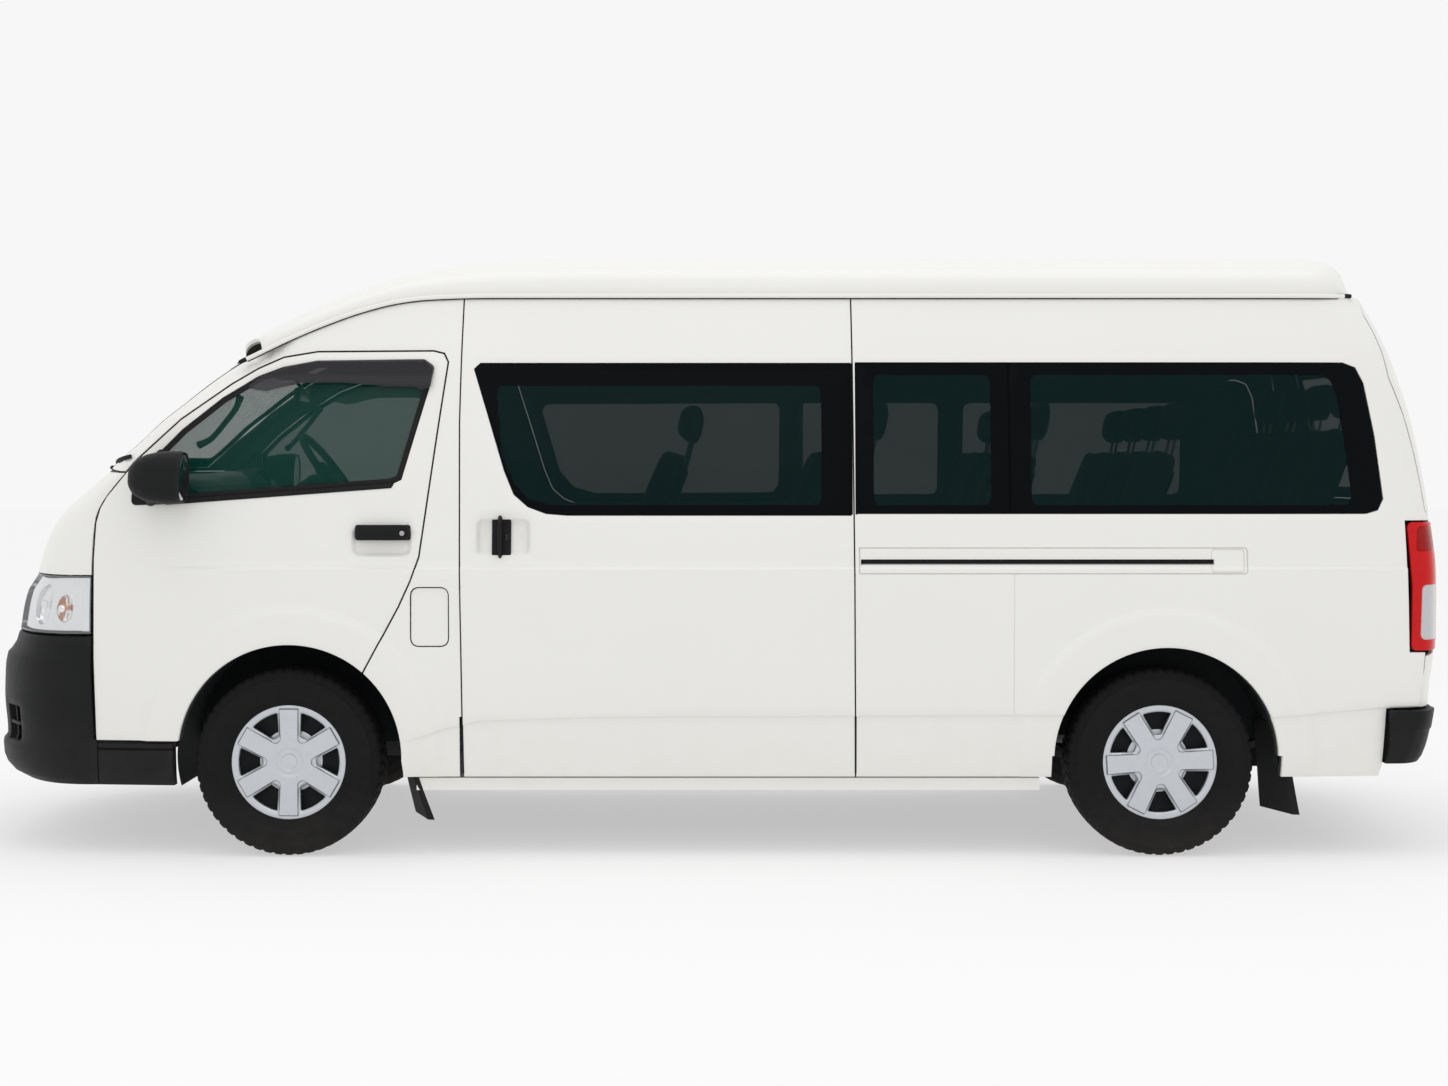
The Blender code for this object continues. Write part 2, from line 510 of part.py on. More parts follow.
axle = rod("rear_axle", STEEL, (AXLE_R, -.855, TYRE_R), (AXLE_R, .855, TYRE_R), .042, 12)
diff = loft("t", STEEL, [[(AXLE_R + rx * math.cos(a), y, TYRE_R + rx * math.sin(a)) for a in [k * math.pi / 5 for k in range(10)]]
                         for y, rx in ((-.19, .05), (-.12, .12), (0, .15), (.12, .12), (.19, .05))])
nosep = rod("t", STEEL, (AXLE_R - .26, 0, TYRE_R + .01), (AXLE_R, 0, TYRE_R), .05, 10)
parts = [diff, nosep]
for sg in (-1, 1):
    a, b = sorted((sg * .555, sg * .60))
    leaf = [(.99, .462), (1.10, .42), (1.40, .300), (1.614, .283), (1.83, .300), (2.13, .42), (2.24, .462),
            (2.235, .438), (2.12, .392), (1.83, .270), (1.614, .253), (1.40, .270), (1.11, .392), (.995, .438)]
    parts.append(prism("t", STEEL, leaf, a, b))
    parts.append(box("t", STEEL, (AXLE_R - .05, a + .002, .26), (AXLE_R + .05, b - .002, .33)))
join(axle, parts)
rod("prop_shaft", STEEL, (-1.087, 0, .362), (AXLE_R - .275, 0, .352), .032, 10)
prism("fuel_tank", STEEL, rounded([(-.50, .515), (.40, .515), (.40, .30), (-.50, .30)], .05, 2), -.76, -.50)
ex = loft("exhaust", STEEL, [[(x, y + r * math.cos(a), z + r * math.sin(a)) for a in [k * math.pi / 4 for k in range(8)]]
                             for x, y, z, r in ((-.72, .53, .36, .025), (.10, .60, .33, .025), (.12, .60, .33, .085), (.70, .60, .33, .085),
                                                (.72, .60, .33, .025), (.93, .525, .35, .025), (1.25, .512, .418, .025), (2.30, .512, .400, .025), (2.50, .58, .30, .025))])
rod("spare_wheel", RUBBER, (2.14, 0, .24), (2.14, 0, .385), .30, 20)

# ---------------------------------------------------------------- wheels
phase = -math.pi / 2 + math.pi / N_TYRE        # a flat of the tread faces the ground
R = TYRE_R / math.cos(math.pi / N_TYRE)
hw = TYRE_W / 2
for n, x, sg in (("front_left", AXLE_F, -1), ("front_right", AXLE_F, 1), ("rear_left", AXLE_R, -1), ("rear_right", AXLE_R, 1)):
    c = (x, sg * TRACK, TYRE_R)
    turned("tyre_" + n, RUBBER, [(RIM_R, -hw + .02), (RIM_R + .05, -hw), (R - .045, -hw + .003), (R - .012, -hw + .012), (R, -hw + .032),
                                 (R, hw - .032), (R - .012, hw - .012), (R - .045, hw - .003), (RIM_R + .05, hw), (RIM_R, hw - .02)], c, N_TYRE, phase)
    # o is the outboard direction: the dish is closed on the outside
    prof = [(.0, .060), (.07, .060), (.165, .072), (.188, .0835), (.1945, .082), (.1945, -.080), (.170, -.080), (.165, .035), (.07, .030), (.0, .030)]
    prof = [(max(r, .002), sg * y) for r, y in prof]
    turned("wheel_" + n, SILVER, prof, c, N_TYRE, phase)

# ---------------------------------------------------------------- mirrors
for L, sg in (("left", -1), ("right", 1)):
    rings = []
    for x, k in ((-2.030, .18), (-2.015, .55), (-1.975, .86), (-1.92, 1.0), (-1.862, 1.0), (-1.835, .93)):
        rings.append([(x, sg * (1.045 + .085 * k * math.cos(a)), 1.352 + .094 * k * math.sin(a)) for a in [j * math.pi / 5 for j in range(10)]])
    head = loft("mirror_" + L, BLACK, rings)
    arm = loft("t", BLACK, [[(x, sg * (side_w(x, z) + .0015), z) for x, z in ((-2.015, 1.258), (-1.955, 1.258), (-1.955, 1.305), (-2.015, 1.305))]]
               + [[(-1.99, sg * 1.02, 1.285), (-1.93, sg * 1.02, 1.285), (-1.93, sg * 1.02, 1.33), (-1.99, sg * 1.02, 1.33)]])
    join(head, [arm])

# ---------------------------------------------------------------- cab and seats
rings = []
for y in (-.775, -.60, -.30, 0, .30, .60, .775):
    back = [(-1.90, 1.335), (-1.79, 1.25), (-1.81, 1.06), (-1.97, .97)]
    front = [(nose(nose_s(y, z), z, -.090).x, z) for z in (1.03, 1.20, 1.28, 1.352)]
    front = [(max(x, -2.232), z) for x, z in front]
    rings.append([(x, y, z) for x, z in front + back])
dash = loft("dashboard", DASH, rings)
ws = Vector((-1.575, .42, 1.36))
tilt = Vector((.80, 0, .60)).normalized()       # the wheel's axis, towards the driver
col = rod("t", DASH, ws - tilt * .34, ws - tilt * .034, .032, 8)
join(dash, [col])
# wheel rim: a ring with three spokes and a hub
ex_, ey_ = Vector((0, 1, 0)), Vector((-.60, 0, .80))
rings = []
for k in range(20):
    a = 2 * math.pi * k / 20
    d = ex_ * math.cos(a) + ey_ * math.sin(a)
    rings.append([ws + d * (.190 + .015 * math.cos(b)) + tilt * .015 * math.sin(b) for b in [j * math.pi / 3 for j in range(6)]])
verts = [p for r in rings for p in r]
faces = [(i * 6 + j, i * 6 + (j + 1) % 6, ((i + 1) % 20) * 6 + (j + 1) % 6, ((i + 1) % 20) * 6 + j) for i in range(20) for j in range(6)]
rim = obj("steering_wheel", verts, faces, DASH)
hub = rod("t", DASH, ws - tilt * .028, ws + tilt * .022, .055, 10)
sp = [rod("t", DASH, ws - tilt * .006, ws - tilt * .004 + (ex_ * math.cos(a) + ey_ * math.sin(a)) * .188, .011, 6) for a in (math.radians(200), math.radians(340), math.radians(90) * -1)]
join(rim, [hub] + sp)


def seat(x, y, z, wd=.44, lean=.20, head=True, h=.62, cl=.44):
    """Pieces of one seat: cushion, back and head restraint. x is the hip point's, z the cushion's underside."""
    c = prism("t", SEAT, [(x - cl, z), (x + .04, z), (x + .06, z + .13), (x + .02 - cl, z + .15)], y - wd / 2, y + wd / 2)
    b = prism("t", SEAT, [(x - .03, z + .08), (x + .085, z + .06), (x + .085 + lean, z + h), (x + .02 + lean, z + h + .02), (x - .02 + lean * .7, z + h * .75)], y - wd / 2 + .005, y + wd / 2 - .005)
    r = [c, b]
    if head:
        xh = x + lean * 1.06 + .05
        r.append(prism("t", SEAT, rounded([(xh - .04, z + h - .02), (xh + .045, z + h - .02), (xh + .075, z + h + .21), (xh - .0, z + h + .21)], .03, 1), y - .12, y + .12))
    return r


fs = box("front_seats", SEAT, (-1.62, -.70, .850), (-1.08, .70, .890))
join(fs, seat(-1.20, -.50, .87, .50, h=.62) + seat(-1.20, -.01, .87, .42, h=.60) + seat(-1.20, .50, .87, .50, h=.62))
# rows of seats: hip point x, cushion underside z, centre of each seat across the van with its own setback
rows = [(-.352, .82, [(-.20, 0), (.21, 0), (.62, 0)]), (.25, .82, [(-.60, .09), (-.20, .09), (.21, 0), (.62, 0)]),
        (.905, .82, [(-.60, .03), (-.20, .03), (.21, 0), (.62, 0)]), (1.44, .82, [(-.60, 0), (-.20, 0), (.21, 0), (.62, 0)]),
        (2.085, .90, [(-.595, 0), (-.20, 0), (.20, 0), (.595, 0)])]
for k, (x, z, ys) in enumerate(rows):
    lo_, hi_ = max(ys[0][0] - .12, -.60), min(ys[-1][0] + .12, .60)
    row = box("seat_row_%d" % (k + 1), SEAT, (x - .38, lo_, z - .03), (x - .02, hi_, z + .015))
    parts = []
    for yy in (-.57, .13, .39):
        if lo_ < yy < hi_:
            parts.append(box("t", SEAT, (x - .22, yy - .02, .5803), (x - .17, yy + .02, z - .01)))
            parts.append(box("t", SEAT, (x - .34, yy - .025, .5803), (x - .06, yy + .025, .60)))
    for y, dx in ys:
        parts += seat(x + dx, y, z, .38, cl=.40)
    join(row, parts)

for o in bpy.data.objects:
    if o.type == "MESH":
        o.data.materials.clear() if not o.data.materials else None
        me = o.data
        me.shade_smooth()
        me.set_sharp_from_angle(angle=math.radians(32))
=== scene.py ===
import math
import bpy
import bmesh
import numpy as np
from mathutils import Vector, Matrix, geometry, kdtree


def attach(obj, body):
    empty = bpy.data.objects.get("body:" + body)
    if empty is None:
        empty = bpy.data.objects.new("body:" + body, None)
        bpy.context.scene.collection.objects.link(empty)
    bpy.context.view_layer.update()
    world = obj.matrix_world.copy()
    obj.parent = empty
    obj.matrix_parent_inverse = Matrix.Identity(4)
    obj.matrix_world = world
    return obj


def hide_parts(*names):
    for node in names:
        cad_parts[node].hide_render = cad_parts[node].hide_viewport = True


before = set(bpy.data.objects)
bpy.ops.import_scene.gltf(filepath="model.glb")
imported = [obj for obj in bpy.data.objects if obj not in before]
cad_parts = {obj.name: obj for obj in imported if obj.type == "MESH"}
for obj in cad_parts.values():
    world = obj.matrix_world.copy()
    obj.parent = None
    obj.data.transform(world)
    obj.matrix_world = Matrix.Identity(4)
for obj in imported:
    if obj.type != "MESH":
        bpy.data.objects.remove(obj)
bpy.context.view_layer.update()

PI = math.pi

# ================================================================ body surface, as in the CAD
AXLE_F, AXLE_R, TRACK, TYRE_R = -1.496, 1.614, 0.8275, 0.335
ARCH_R, ARCH_F, ARCH_B = 0.400, (-1.490, 0.357), (1.634, 0.347)
GAP, PLAY, WALL = 0.006, 0.0025, 0.050
WZ = [(0.20, .885), (.29, .915), (.50, .930), (1.03, .940), (1.22, .925), (1.76, .865), (2.01, .800)]
XE = [(0.24, -2.188), (0.41, -2.188), (0.68, -2.196), (1.0, -2.195), (1.12, -2.192), (1.20, -2.187), (1.24, -2.175),
      (1.28, -2.152), (1.34, -2.106), (1.406, -2.05), (1.461, -1.992), (1.558, -1.885), (1.626, -1.786),
      (1.685, -1.703), (1.736, -1.62), (1.779, -1.528), (1.80, -1.46)]
NL = [(.20, .25), (.235, .33), (.26, .425), (.296, .480), (.336, .498), (.377, .500), (.411, .482), (.524, .488),
      (.62, .482), (.69, .474), (.72, .456), (.76, .430), (.80, .424), (.86, .414), (.93, .394), (.99, .350),
      (1.064, .324), (1.127, .300), (1.18, .272), (1.25, .222), (1.30, .192), (1.365, .165), (1.49, .150),
      (1.57, .162), (1.64, .184), (1.70, .202), (1.735, .219), (1.785, .278), (1.80, .310)]
XR = [(.30, 2.440), (.40, 2.480), (.53, 2.504), (.64, 2.514), (.79, 2.520), (.99, 2.521), (1.20, 2.503),
      (1.32, 2.488), (1.573, 2.439), (1.71, 2.399), (1.877, 2.338), (2.01, 2.268)]
TL = 0.160
ZG = [(-1.85, 1.70), (-1.65, 1.782), (-1.59, 1.812), (-1.505, 1.854), (-1.377, 1.910), (-1.249, 1.957),
      (-1.121, 1.990), (-1.011, 2.004), (-.788, 2.011), (2.60, 2.011)]
ZC = [(-1.80, 1.782), (-1.67, 1.872), (-1.51, 1.962), (-1.375, 2.022), (-1.19, 2.090), (-.967, 2.146),
      (-.725, 2.173), (-.40, 2.182), (2.20, 2.182), (2.30, 2.174), (2.37, 2.145), (2.42, 2.090), (2.45, 2.012)]


def pchip(pts):
    """A smooth curve through the points of a table, without overshoot."""
    x, y = np.array(pts, float).T
    h = np.diff(x)
    d = np.diff(y) / h
    m = np.zeros_like(x)
    for i in range(1, len(x) - 1):
        if d[i - 1] * d[i] > 0:
            a, b = 2 * h[i] + h[i - 1], h[i] + 2 * h[i - 1]
            m[i] = (a + b) / (a / d[i - 1] + b / d[i])
    m[0], m[-1] = d[0], d[-1]

    def f(t):
        t = np.clip(np.asarray(t, float), x[0], x[-1])
        i = np.clip(np.searchsorted(x, t) - 1, 0, len(x) - 2)
        s = (t - x[i]) / h[i]
        return ((2 * s ** 3 - 3 * s ** 2 + 1) * y[i] + (s ** 3 - 2 * s ** 2 + s) * h[i] * m[i]
                + (3 * s ** 2 - 2 * s ** 3) * y[i + 1] + (s ** 3 - s ** 2) * h[i] * m[i + 1])
    return f


wz, xe_, nl, xr_, zg_, zc_ = (pchip(t) for t in (WZ, XE, NL, XR, ZG, ZC))


def tab(t, x):
    return float(np.interp(x, [a for a, b in t], [b for a, b in t]))


def ramp(a, b, x):
    t = np.clip((np.asarray(x, float) - a) / (b - a), 0, 1)
    return t * t * (3 - 2 * t)


def side_w(x, z):
    x = np.asarray(x, float)
    return wz(z) - .045 * (np.maximum(0, -1.4 - x) / .8) ** 2 - .03 * (np.maximum(0, x - 1.9) / .55) ** 2


def nn(z):
    return np.interp(z, [1.2, 1.5], [2.5, 2.3])


def nose(s, z, off=0.0):
    s, z, off = np.broadcast_arrays(np.asarray(s, float), np.asarray(z, float), np.asarray(off, float))
    xe, n, a = xe_(z), nn(z), np.minimum(np.abs(s), 1)
    t = np.sin((1 - a) * PI / 2)
    X = xe - (nl(z) + off) * t
    Y = (side_w(xe, z) + off) * np.maximum(0, 1 - t ** n) ** (1 / n)
    past = np.abs(s) > 1
    xp = xe + (np.abs(s) - 1) * .5
    X, Y = np.where(past, xp, X), np.where(past, side_w(xp, z) + off, Y)
    return np.stack([X, np.copysign(Y, s), z], -1)


def tail(s, z, off=0.0):
    s, z, off = np.broadcast_arrays(np.asarray(s, float), np.asarray(z, float), np.asarray(off, float))
    xr, a = xr_(z), np.minimum(np.abs(s), 1)
    t = np.sin((1 - a) * PI / 2)
    X = xr + (TL + off) * t
    Y = (side_w(xr, z) + off) * np.maximum(0, 1 - t ** 3) ** (1 / 3)
    past = np.abs(s) > 1
    xp = xr - (np.abs(s) - 1) * .5
    X, Y = np.where(past, xp, X), np.where(past, side_w(xp, z) + off, Y)
    return np.stack([X, np.copysign(Y, s), z], -1)


def nose_s(y, z):
    n, W = float(nn(z)), float(side_w(xe_(z), z))
    u = min(1, abs(y) / W)
    return math.copysign(1 - math.asin((1 - u ** n) ** (1 / n)) * 2 / PI, y)


def tail_s(y, z):
    W = float(side_w(xr_(z), z))
    u = min(1, abs(y) / W)
    return math.copysign(1 - math.asin((1 - u ** 3) ** (1 / 3)) * 2 / PI, y)


def side(q, z, off=0.0):
    q, z, off = np.broadcast_arrays(np.asarray(q, float), np.asarray(z, float), np.asarray(off, float))
    xe, xr, L = xe_(z), xr_(z), nl(z)
    P = np.stack([q, -(side_w(q, z) + off), z], -1)
    a = nose(-np.clip(1 - (xe - q) / (L * PI / 2), 1e-9, 1), z, off)
    b = tail(-np.clip(1 - (q - xr) / (TL * PI / 2), 1e-9, 1), z, off)
    P = np.where((q < xe)[..., None], a, P)
    return np.where((q > xr)[..., None], b, P)


def q_nose(y, z):
    return float(xe_(z) - (1 - abs(nose_s(y, z))) * nl(z) * PI / 2)


def gate_q(z, y):
    return float(xr_(z)) + (1 - abs(tail_s(y, z))) * TL * PI / 2


def roof(x, v, off=0.0):
    x, v, off = np.broadcast_arrays(np.asarray(x, float), np.asarray(v, float), np.asarray(off, float))
    zg, zc = zg_(x), zc_(x)
    w = side_w(x, zg) + off
    xs = np.interp(x, [2.2, 2.45], [0, 1])
    a = np.minimum(np.abs(v), 1)
    return np.stack([x - xs * .165 * a ** 3, v * w, zg + np.maximum(0.0, zc - zg + off) * np.maximum(0, 1 - a ** 3.2) ** (1 / 3.2)], -1)


def flat(x, z, off=0.0):
    """A plane of constant y, seen from the left."""
    x, z, off = np.broadcast_arrays(np.asarray(x, float), np.asarray(z, float), np.asarray(off, float))
    return np.stack([x, -off, z], -1)


# ================================================================ outlines
def area(poly):
    p = np.asarray(poly)
    q = np.roll(p, -1, 0)
    return float(np.sum(p[:, 0] * q[:, 1] - q[:, 0] * p[:, 1]) / 2)


def grow(poly, d):
    p = np.asarray(poly, float)
    if area(p) < 0:
        p = p[::-1]
    a, c = np.roll(p, 1, 0), np.roll(p, -1, 0)
    e1, e2 = p - a, c - p
    e1 /= np.maximum(1e-12, np.linalg.norm(e1, axis=1))[:, None]
    e2 /= np.maximum(1e-12, np.linalg.norm(e2, axis=1))[:, None]
    n1, n2 = np.stack([e1[:, 1], -e1[:, 0]], 1), np.stack([e2[:, 1], -e2[:, 0]], 1)
    k = n1 + n2
    k /= np.maximum(1e-9, np.linalg.norm(k, axis=1))[:, None]
    return [tuple(r) for r in p + k * (d / np.maximum(.35, np.sum(k * n1, 1)))[:, None]]


def rounded(poly, r, seg=6):
    rs = r if isinstance(r, (list, tuple)) else [r] * len(poly)
    out = []
    for i, rad in enumerate(rs):
        a, b, c = (Vector(poly[i - 1]), Vector(poly[i]), Vector(poly[(i + 1) % len(poly)]))
        if rad <= 0:
            out.append(tuple(b))
            continue
        u, v = (a - b).normalized(), (c - b).normalized()
        half = math.acos(max(-1, min(1, u.dot(v)))) / 2
        d = min(rad / math.tan(half), .49 * (a - b).length, .49 * (c - b).length)
        p, q = b + u * d, b + v * d
        for k in range(seg + 1):
            t = k / seg
            out.append(tuple((1 - t) ** 2 * p + 2 * t * (1 - t) * b + t * t * q))
    return out


def rect(x0, z0, x1, z1, r=0.0, seg=6):
    p = [(x0, z0), (x1, z0), (x1, z1), (x0, z1)]
    return rounded(p, r, seg) if r else p


def circle(c, r, seg=64, a0=0.0):
    return [(c[0] + r * math.cos(a0 + 2 * PI * k / seg), c[1] + r * math.sin(a0 + 2 * PI * k / seg)) for k in range(seg)]


def arc(c, r, a0, a1, seg=40):
    return [(c[0] + r * math.cos(a0 + (a1 - a0) * k / seg), c[1] + r * math.sin(a0 + (a1 - a0) * k / seg)) for k in range(seg + 1)]


def resample(poly, step, closed=True):
    p = np.asarray(poly, float)
    q = np.roll(p, -1, 0) if closed else p[1:]
    out = []
    for a, b in zip(p, q):
        n = max(1, int(math.ceil(np.linalg.norm(b - a) / step)))
        out += [a + (b - a) * i / n for i in range(n)]
    if not closed:
        out.append(p[-1])
    return np.array(out)


def within(P, poly):
    """Which of the points P lie inside poly."""
    poly = np.asarray(poly, float)
    x, y = P[:, 0], P[:, 1]
    c = np.zeros(len(P), bool)
    x1, y1 = poly[-1]
    for x2, y2 in poly:
        if y1 != y2:
            m = ((y1 > y) != (y2 > y)) & (x < (x2 - x1) * (y - y1) / (y2 - y1) + x1)
            c ^= m
        x1, y1 = x2, y2
    return c


def dist(P, lines, near=.03):
    """Distance of each point to the nearest of the lines (closed outlines or open lines), exact below near."""
    D = np.full(len(P), 9.0)
    for line, closed in lines:
        L = np.asarray(line, float)
        A, B = (L, np.roll(L, -1, 0)) if closed else (L[:-1], L[1:])
        lo, hi = L.min(0) - near, L.max(0) + near
        sel = np.where(np.all((P >= lo) & (P <= hi), 1))[0]
        for k in range(0, len(sel), 4000):
            s = sel[k:k + 4000]
            Q = P[s][:, None]
            d = (B - A)[None]
            t = np.clip(np.sum((Q - A[None]) * d, -1) / np.maximum(1e-18, np.sum(d * d, -1)), 0, 1)
            D[s] = np.minimum(D[s], np.sqrt(np.min(np.sum((Q - A[None] - t[..., None] * d) ** 2, -1), 1)))
    return D


# ================================================================ mesh tools
def sharp(me, deg=35):
    me.shade_smooth()
    me.set_sharp_from_angle(angle=math.radians(deg))


def mesh(name, verts, faces, mats, index=None, deg=35, clean=True, closed=True):
    me = bpy.data.meshes.new(name)
    me.from_pydata(np.asarray(verts, float).tolist(), [], [tuple(f) for f in faces])
    for m in (mats if isinstance(mats, (list, tuple)) else [mats]):
        me.materials.append(m)
    if index is not None:
        me.polygons.foreach_set("material_index", np.asarray(index, np.int32))
    if clean:
        bm = bmesh.new()
        bm.from_mesh(me)
        bmesh.ops.remove_doubles(bm, verts=bm.verts, dist=1e-6)
        bmesh.ops.recalc_face_normals(bm, faces=bm.faces)
        if closed and bm.calc_volume(signed=True) < 0:
            bmesh.ops.reverse_faces(bm, faces=bm.faces)
        bm.to_mesh(me)
        bm.free()
    sharp(me, deg)
    o = bpy.data.objects.new(name, me)
    bpy.context.scene.collection.objects.link(o)
    return o


def put(o, body, slot, *nodes):
    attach(o, body)
    if nodes:
        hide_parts(*nodes)
    return o


def merged(name, objs, deg=35):
    """The objects joined into one, with their materials."""
    mats, V, F, I, n = [], [], [], [], 0
    for o in objs:
        me = o.data
        at = []
        for m in me.materials:
            if m not in mats:
                mats.append(m)
            at.append(mats.index(m))
        M = o.matrix_world
        V += [tuple(M @ v.co) for v in me.vertices]
        for p in me.polygons:
            F.append([n + i for i in p.vertices])
            I.append(at[p.material_index] if at else 0)
        n += len(me.vertices)
        bpy.data.objects.remove(o, do_unlink=True)
        bpy.data.meshes.remove(me)
    return mesh(name, V, F, mats, I, deg, clean=False)


def region(include, exclude, step, feats, rnd):
    """Triangles in the plane over include less exclude, fine along the outlines and the feature lines."""
    pts, edges = [], []

    def add(line, closed):
        k, n = len(pts), len(line)
        pts.extend(Vector(p) for p in line)
        edges.extend((k + i, k + (i + 1) % n) for i in range(n if closed else n - 1))

    inc = [resample(p, step) for p in include]
    exc = [resample(p, step) for p in exclude]
    for p in inc:
        add(p, True)
        if rnd:
            for k in (.35, 1.0):
                add(grow(p, -rnd * k), True)
    for p in exc:
        add(p, True)
        if rnd:
            for k in (.35, 1.0):
                add(grow(p, rnd * k), True)
    for line, closed in feats:
        add(resample(line, step, closed), closed)
    fixed = np.array([tuple(p) for p in pts])
    tree = kdtree.KDTree(len(fixed))
    for i, p in enumerate(fixed):
        tree.insert((p[0], p[1], 0), i)
    tree.balance()
    allp = np.concatenate(inc)
    lo, hi = allp.min(0), allp.max(0)
    rows = int((hi[1] - lo[1]) / (step * .866)) + 1
    grid = [(lo[0] + step * (i + .5 * (j % 2)), lo[1] + step * .866 * j) for j in range(rows) for i in range(int((hi[0] - lo[0]) / step) + 1)]
    grid = np.array(grid) if grid else np.zeros((0, 2))
    ok = np.zeros(len(grid), bool)
    for p in inc:
        ok |= within(grid, p)
    for p in exc:
        ok &= ~within(grid, p)
    for g in grid[ok]:
        if tree.find((g[0], g[1], 0))[2] > step * .5:
            pts.append(Vector(g))
    P, E, F, *_ = geometry.delaunay_2d_cdt(pts, edges, [], 0, 1e-6)
    P, F = np.array([tuple(p) for p in P]), np.array([f[:3] for f in F])
    a, b, c = P[F[:, 0]], P[F[:, 1]], P[F[:, 2]]
    C = (a + b + c) / 3
    big = np.abs((b[:, 0] - a[:, 0]) * (c[:, 1] - a[:, 1]) - (b[:, 1] - a[:, 1]) * (c[:, 0] - a[:, 0])) > 1e-11
    ok = np.zeros(len(F), bool)
    for p in inc:
        ok |= within(C, p)
    for p in exc:
        ok &= ~within(C, p)
    F, C = F[ok & big], C[ok & big]
    used, inv = np.unique(F, return_inverse=True)
    return P[used], inv.reshape(-1, 3), C, [(p, True) for p in inc + exc]


def shell(name, include, exclude, surf, mats, off=0.0, thick=WALL, step=.03, feats=(), rnd=.002, lip=.016, mirror=False, pick=None, inner=None, deg=35):
    """A closed shell over include less exclude, with rounded edges: mats[0] outside, mats[-1] inside."""
    P, F, C, lines = region(include, exclude, step, feats, rnd)
    u, v = P[:, 0], P[:, 1]
    o = off(u, v) if callable(off) else np.full(len(P), float(off))
    D = dist(P, lines, near=.01)
    drop = np.where(D < rnd, rnd - np.sqrt(np.maximum(0, rnd ** 2 - (rnd - np.minimum(D, rnd)) ** 2)), 0) if rnd else 0 * D
    top = surf(u, v, o - drop)
    back = surf(u, v, (inner(u, v) if callable(inner) else -thick) if inner is not None else -thick + 0 * u)
    n = len(P)
    faces, idx = F.tolist(), (pick(C[:, 0], C[:, 1]).astype(int) if pick else np.zeros(len(F), int)).tolist()
    last = len(mats) - 1
    faces += (F[:, ::-1] + n).tolist()
    idx += [last] * len(F)
    e = np.concatenate([F[:, [0, 1]], F[:, [1, 2]], F[:, [2, 0]]])
    key = set(map(tuple, e.tolist()))
    rim = [(a, b) for a, b in key if (b, a) not in key]
    rv = sorted({i for ab in rim for i in ab})
    at = {i: 2 * n + k for k, i in enumerate(rv)}
    ru = np.array(rv)
    mid = surf(u[ru], v[ru], np.maximum(o[ru] - rnd - min(lip, thick * .6), -thick))
    for a, b in rim:
        faces.append([b, a, at[a], at[b]])
        idx.append(0)
        faces.append([at[b], at[a], n + a, n + b])
        idx.append(last)
    V = np.concatenate([top, back, mid])
    if mirror:
        V = V * [1, -1, 1]
    return mesh(name, V, faces, mats, idx, deg)


def sweep(name, path, prof, mat, up=(0, 0, 1), closed=False, cap=True, scale=None, deg=35):
    """A profile of (out, up) points carried along path; out is up x direction."""
    path = np.asarray(path, float)
    n = len(path)
    d = np.roll(path, -1, 0) - np.roll(path, 1, 0) if closed else np.gradient(path, axis=0)
    d /= np.maximum(1e-12, np.linalg.norm(d, axis=1))[:, None]
    ups = np.broadcast_to(np.asarray(up, float), path.shape)
    out = np.cross(d, ups)
    out /= np.maximum(1e-9, np.linalg.norm(out, axis=1))[:, None]
    u2 = np.cross(out, d)
    k = len(prof)
    V = []
    for i in range(n):
        s = scale[i] if scale is not None else 1
        for a, b in prof:
            V.append(path[i] + out[i] * a * s + u2[i] * b * s)
    m = n if closed else n - 1
    F = [(i * k + j, i * k + (j + 1) % k, ((i + 1) % n) * k + (j + 1) % k, ((i + 1) % n) * k + j) for i in range(m) for j in range(k)]
    if cap and not closed:
        F += [tuple(range(k)), tuple(range((n - 1) * k, n * k))]
    return mesh(name, V, F, mat, deg=deg)


def ring(r, seg=12, sx=1.0, sy=1.0):
    return [(r * sx * math.cos(2 * PI * k / seg), r * sy * math.sin(2 * PI * k / seg)) for k in range(seg)]


def spline(pts, n=8, closed=False):
    """A smooth path through the points."""
    P = np.asarray(pts, float)
    m = len(P)
    out = []
    for i in range(m if closed else m - 1):
        p0, p1, p2, p3 = (P[(i - 1) % m] if closed else P[max(0, i - 1)]), P[i], P[(i + 1) % m], (P[(i + 2) % m] if closed else P[min(m - 1, i + 2)])
        for k in range(n):
            t = k / n
            out.append(.5 * (2 * p1 + (p2 - p0) * t + (2 * p0 - 5 * p1 + 4 * p2 - p3) * t * t + (3 * p1 - p0 - 3 * p2 + p3) * t ** 3))
    if not closed:
        out.append(P[-1])
    return np.array(out)


def lathe(name, prof, centre, axis, mat, segs=64, deg=35, closed=True):
    """A closed profile of (radius, along) turned about axis through centre."""
    a = Vector(axis).normalized()
    x = a.orthogonal().normalized()
    y = a.cross(x)
    c = Vector(centre)
    k = len(prof)
    V = [c + (x * math.cos(2 * PI * i / segs) + y * math.sin(2 * PI * i / segs)) * r + a * h for i in range(segs) for r, h in prof]
    F = [(i * k + j, i * k + (j + 1) % k, ((i + 1) % segs) * k + (j + 1) % k, ((i + 1) % segs) * k + j) for i in range(segs) for j in range(k if closed else k - 1)]
    return mesh(name, [tuple(v) for v in V], F, mat, deg=deg)


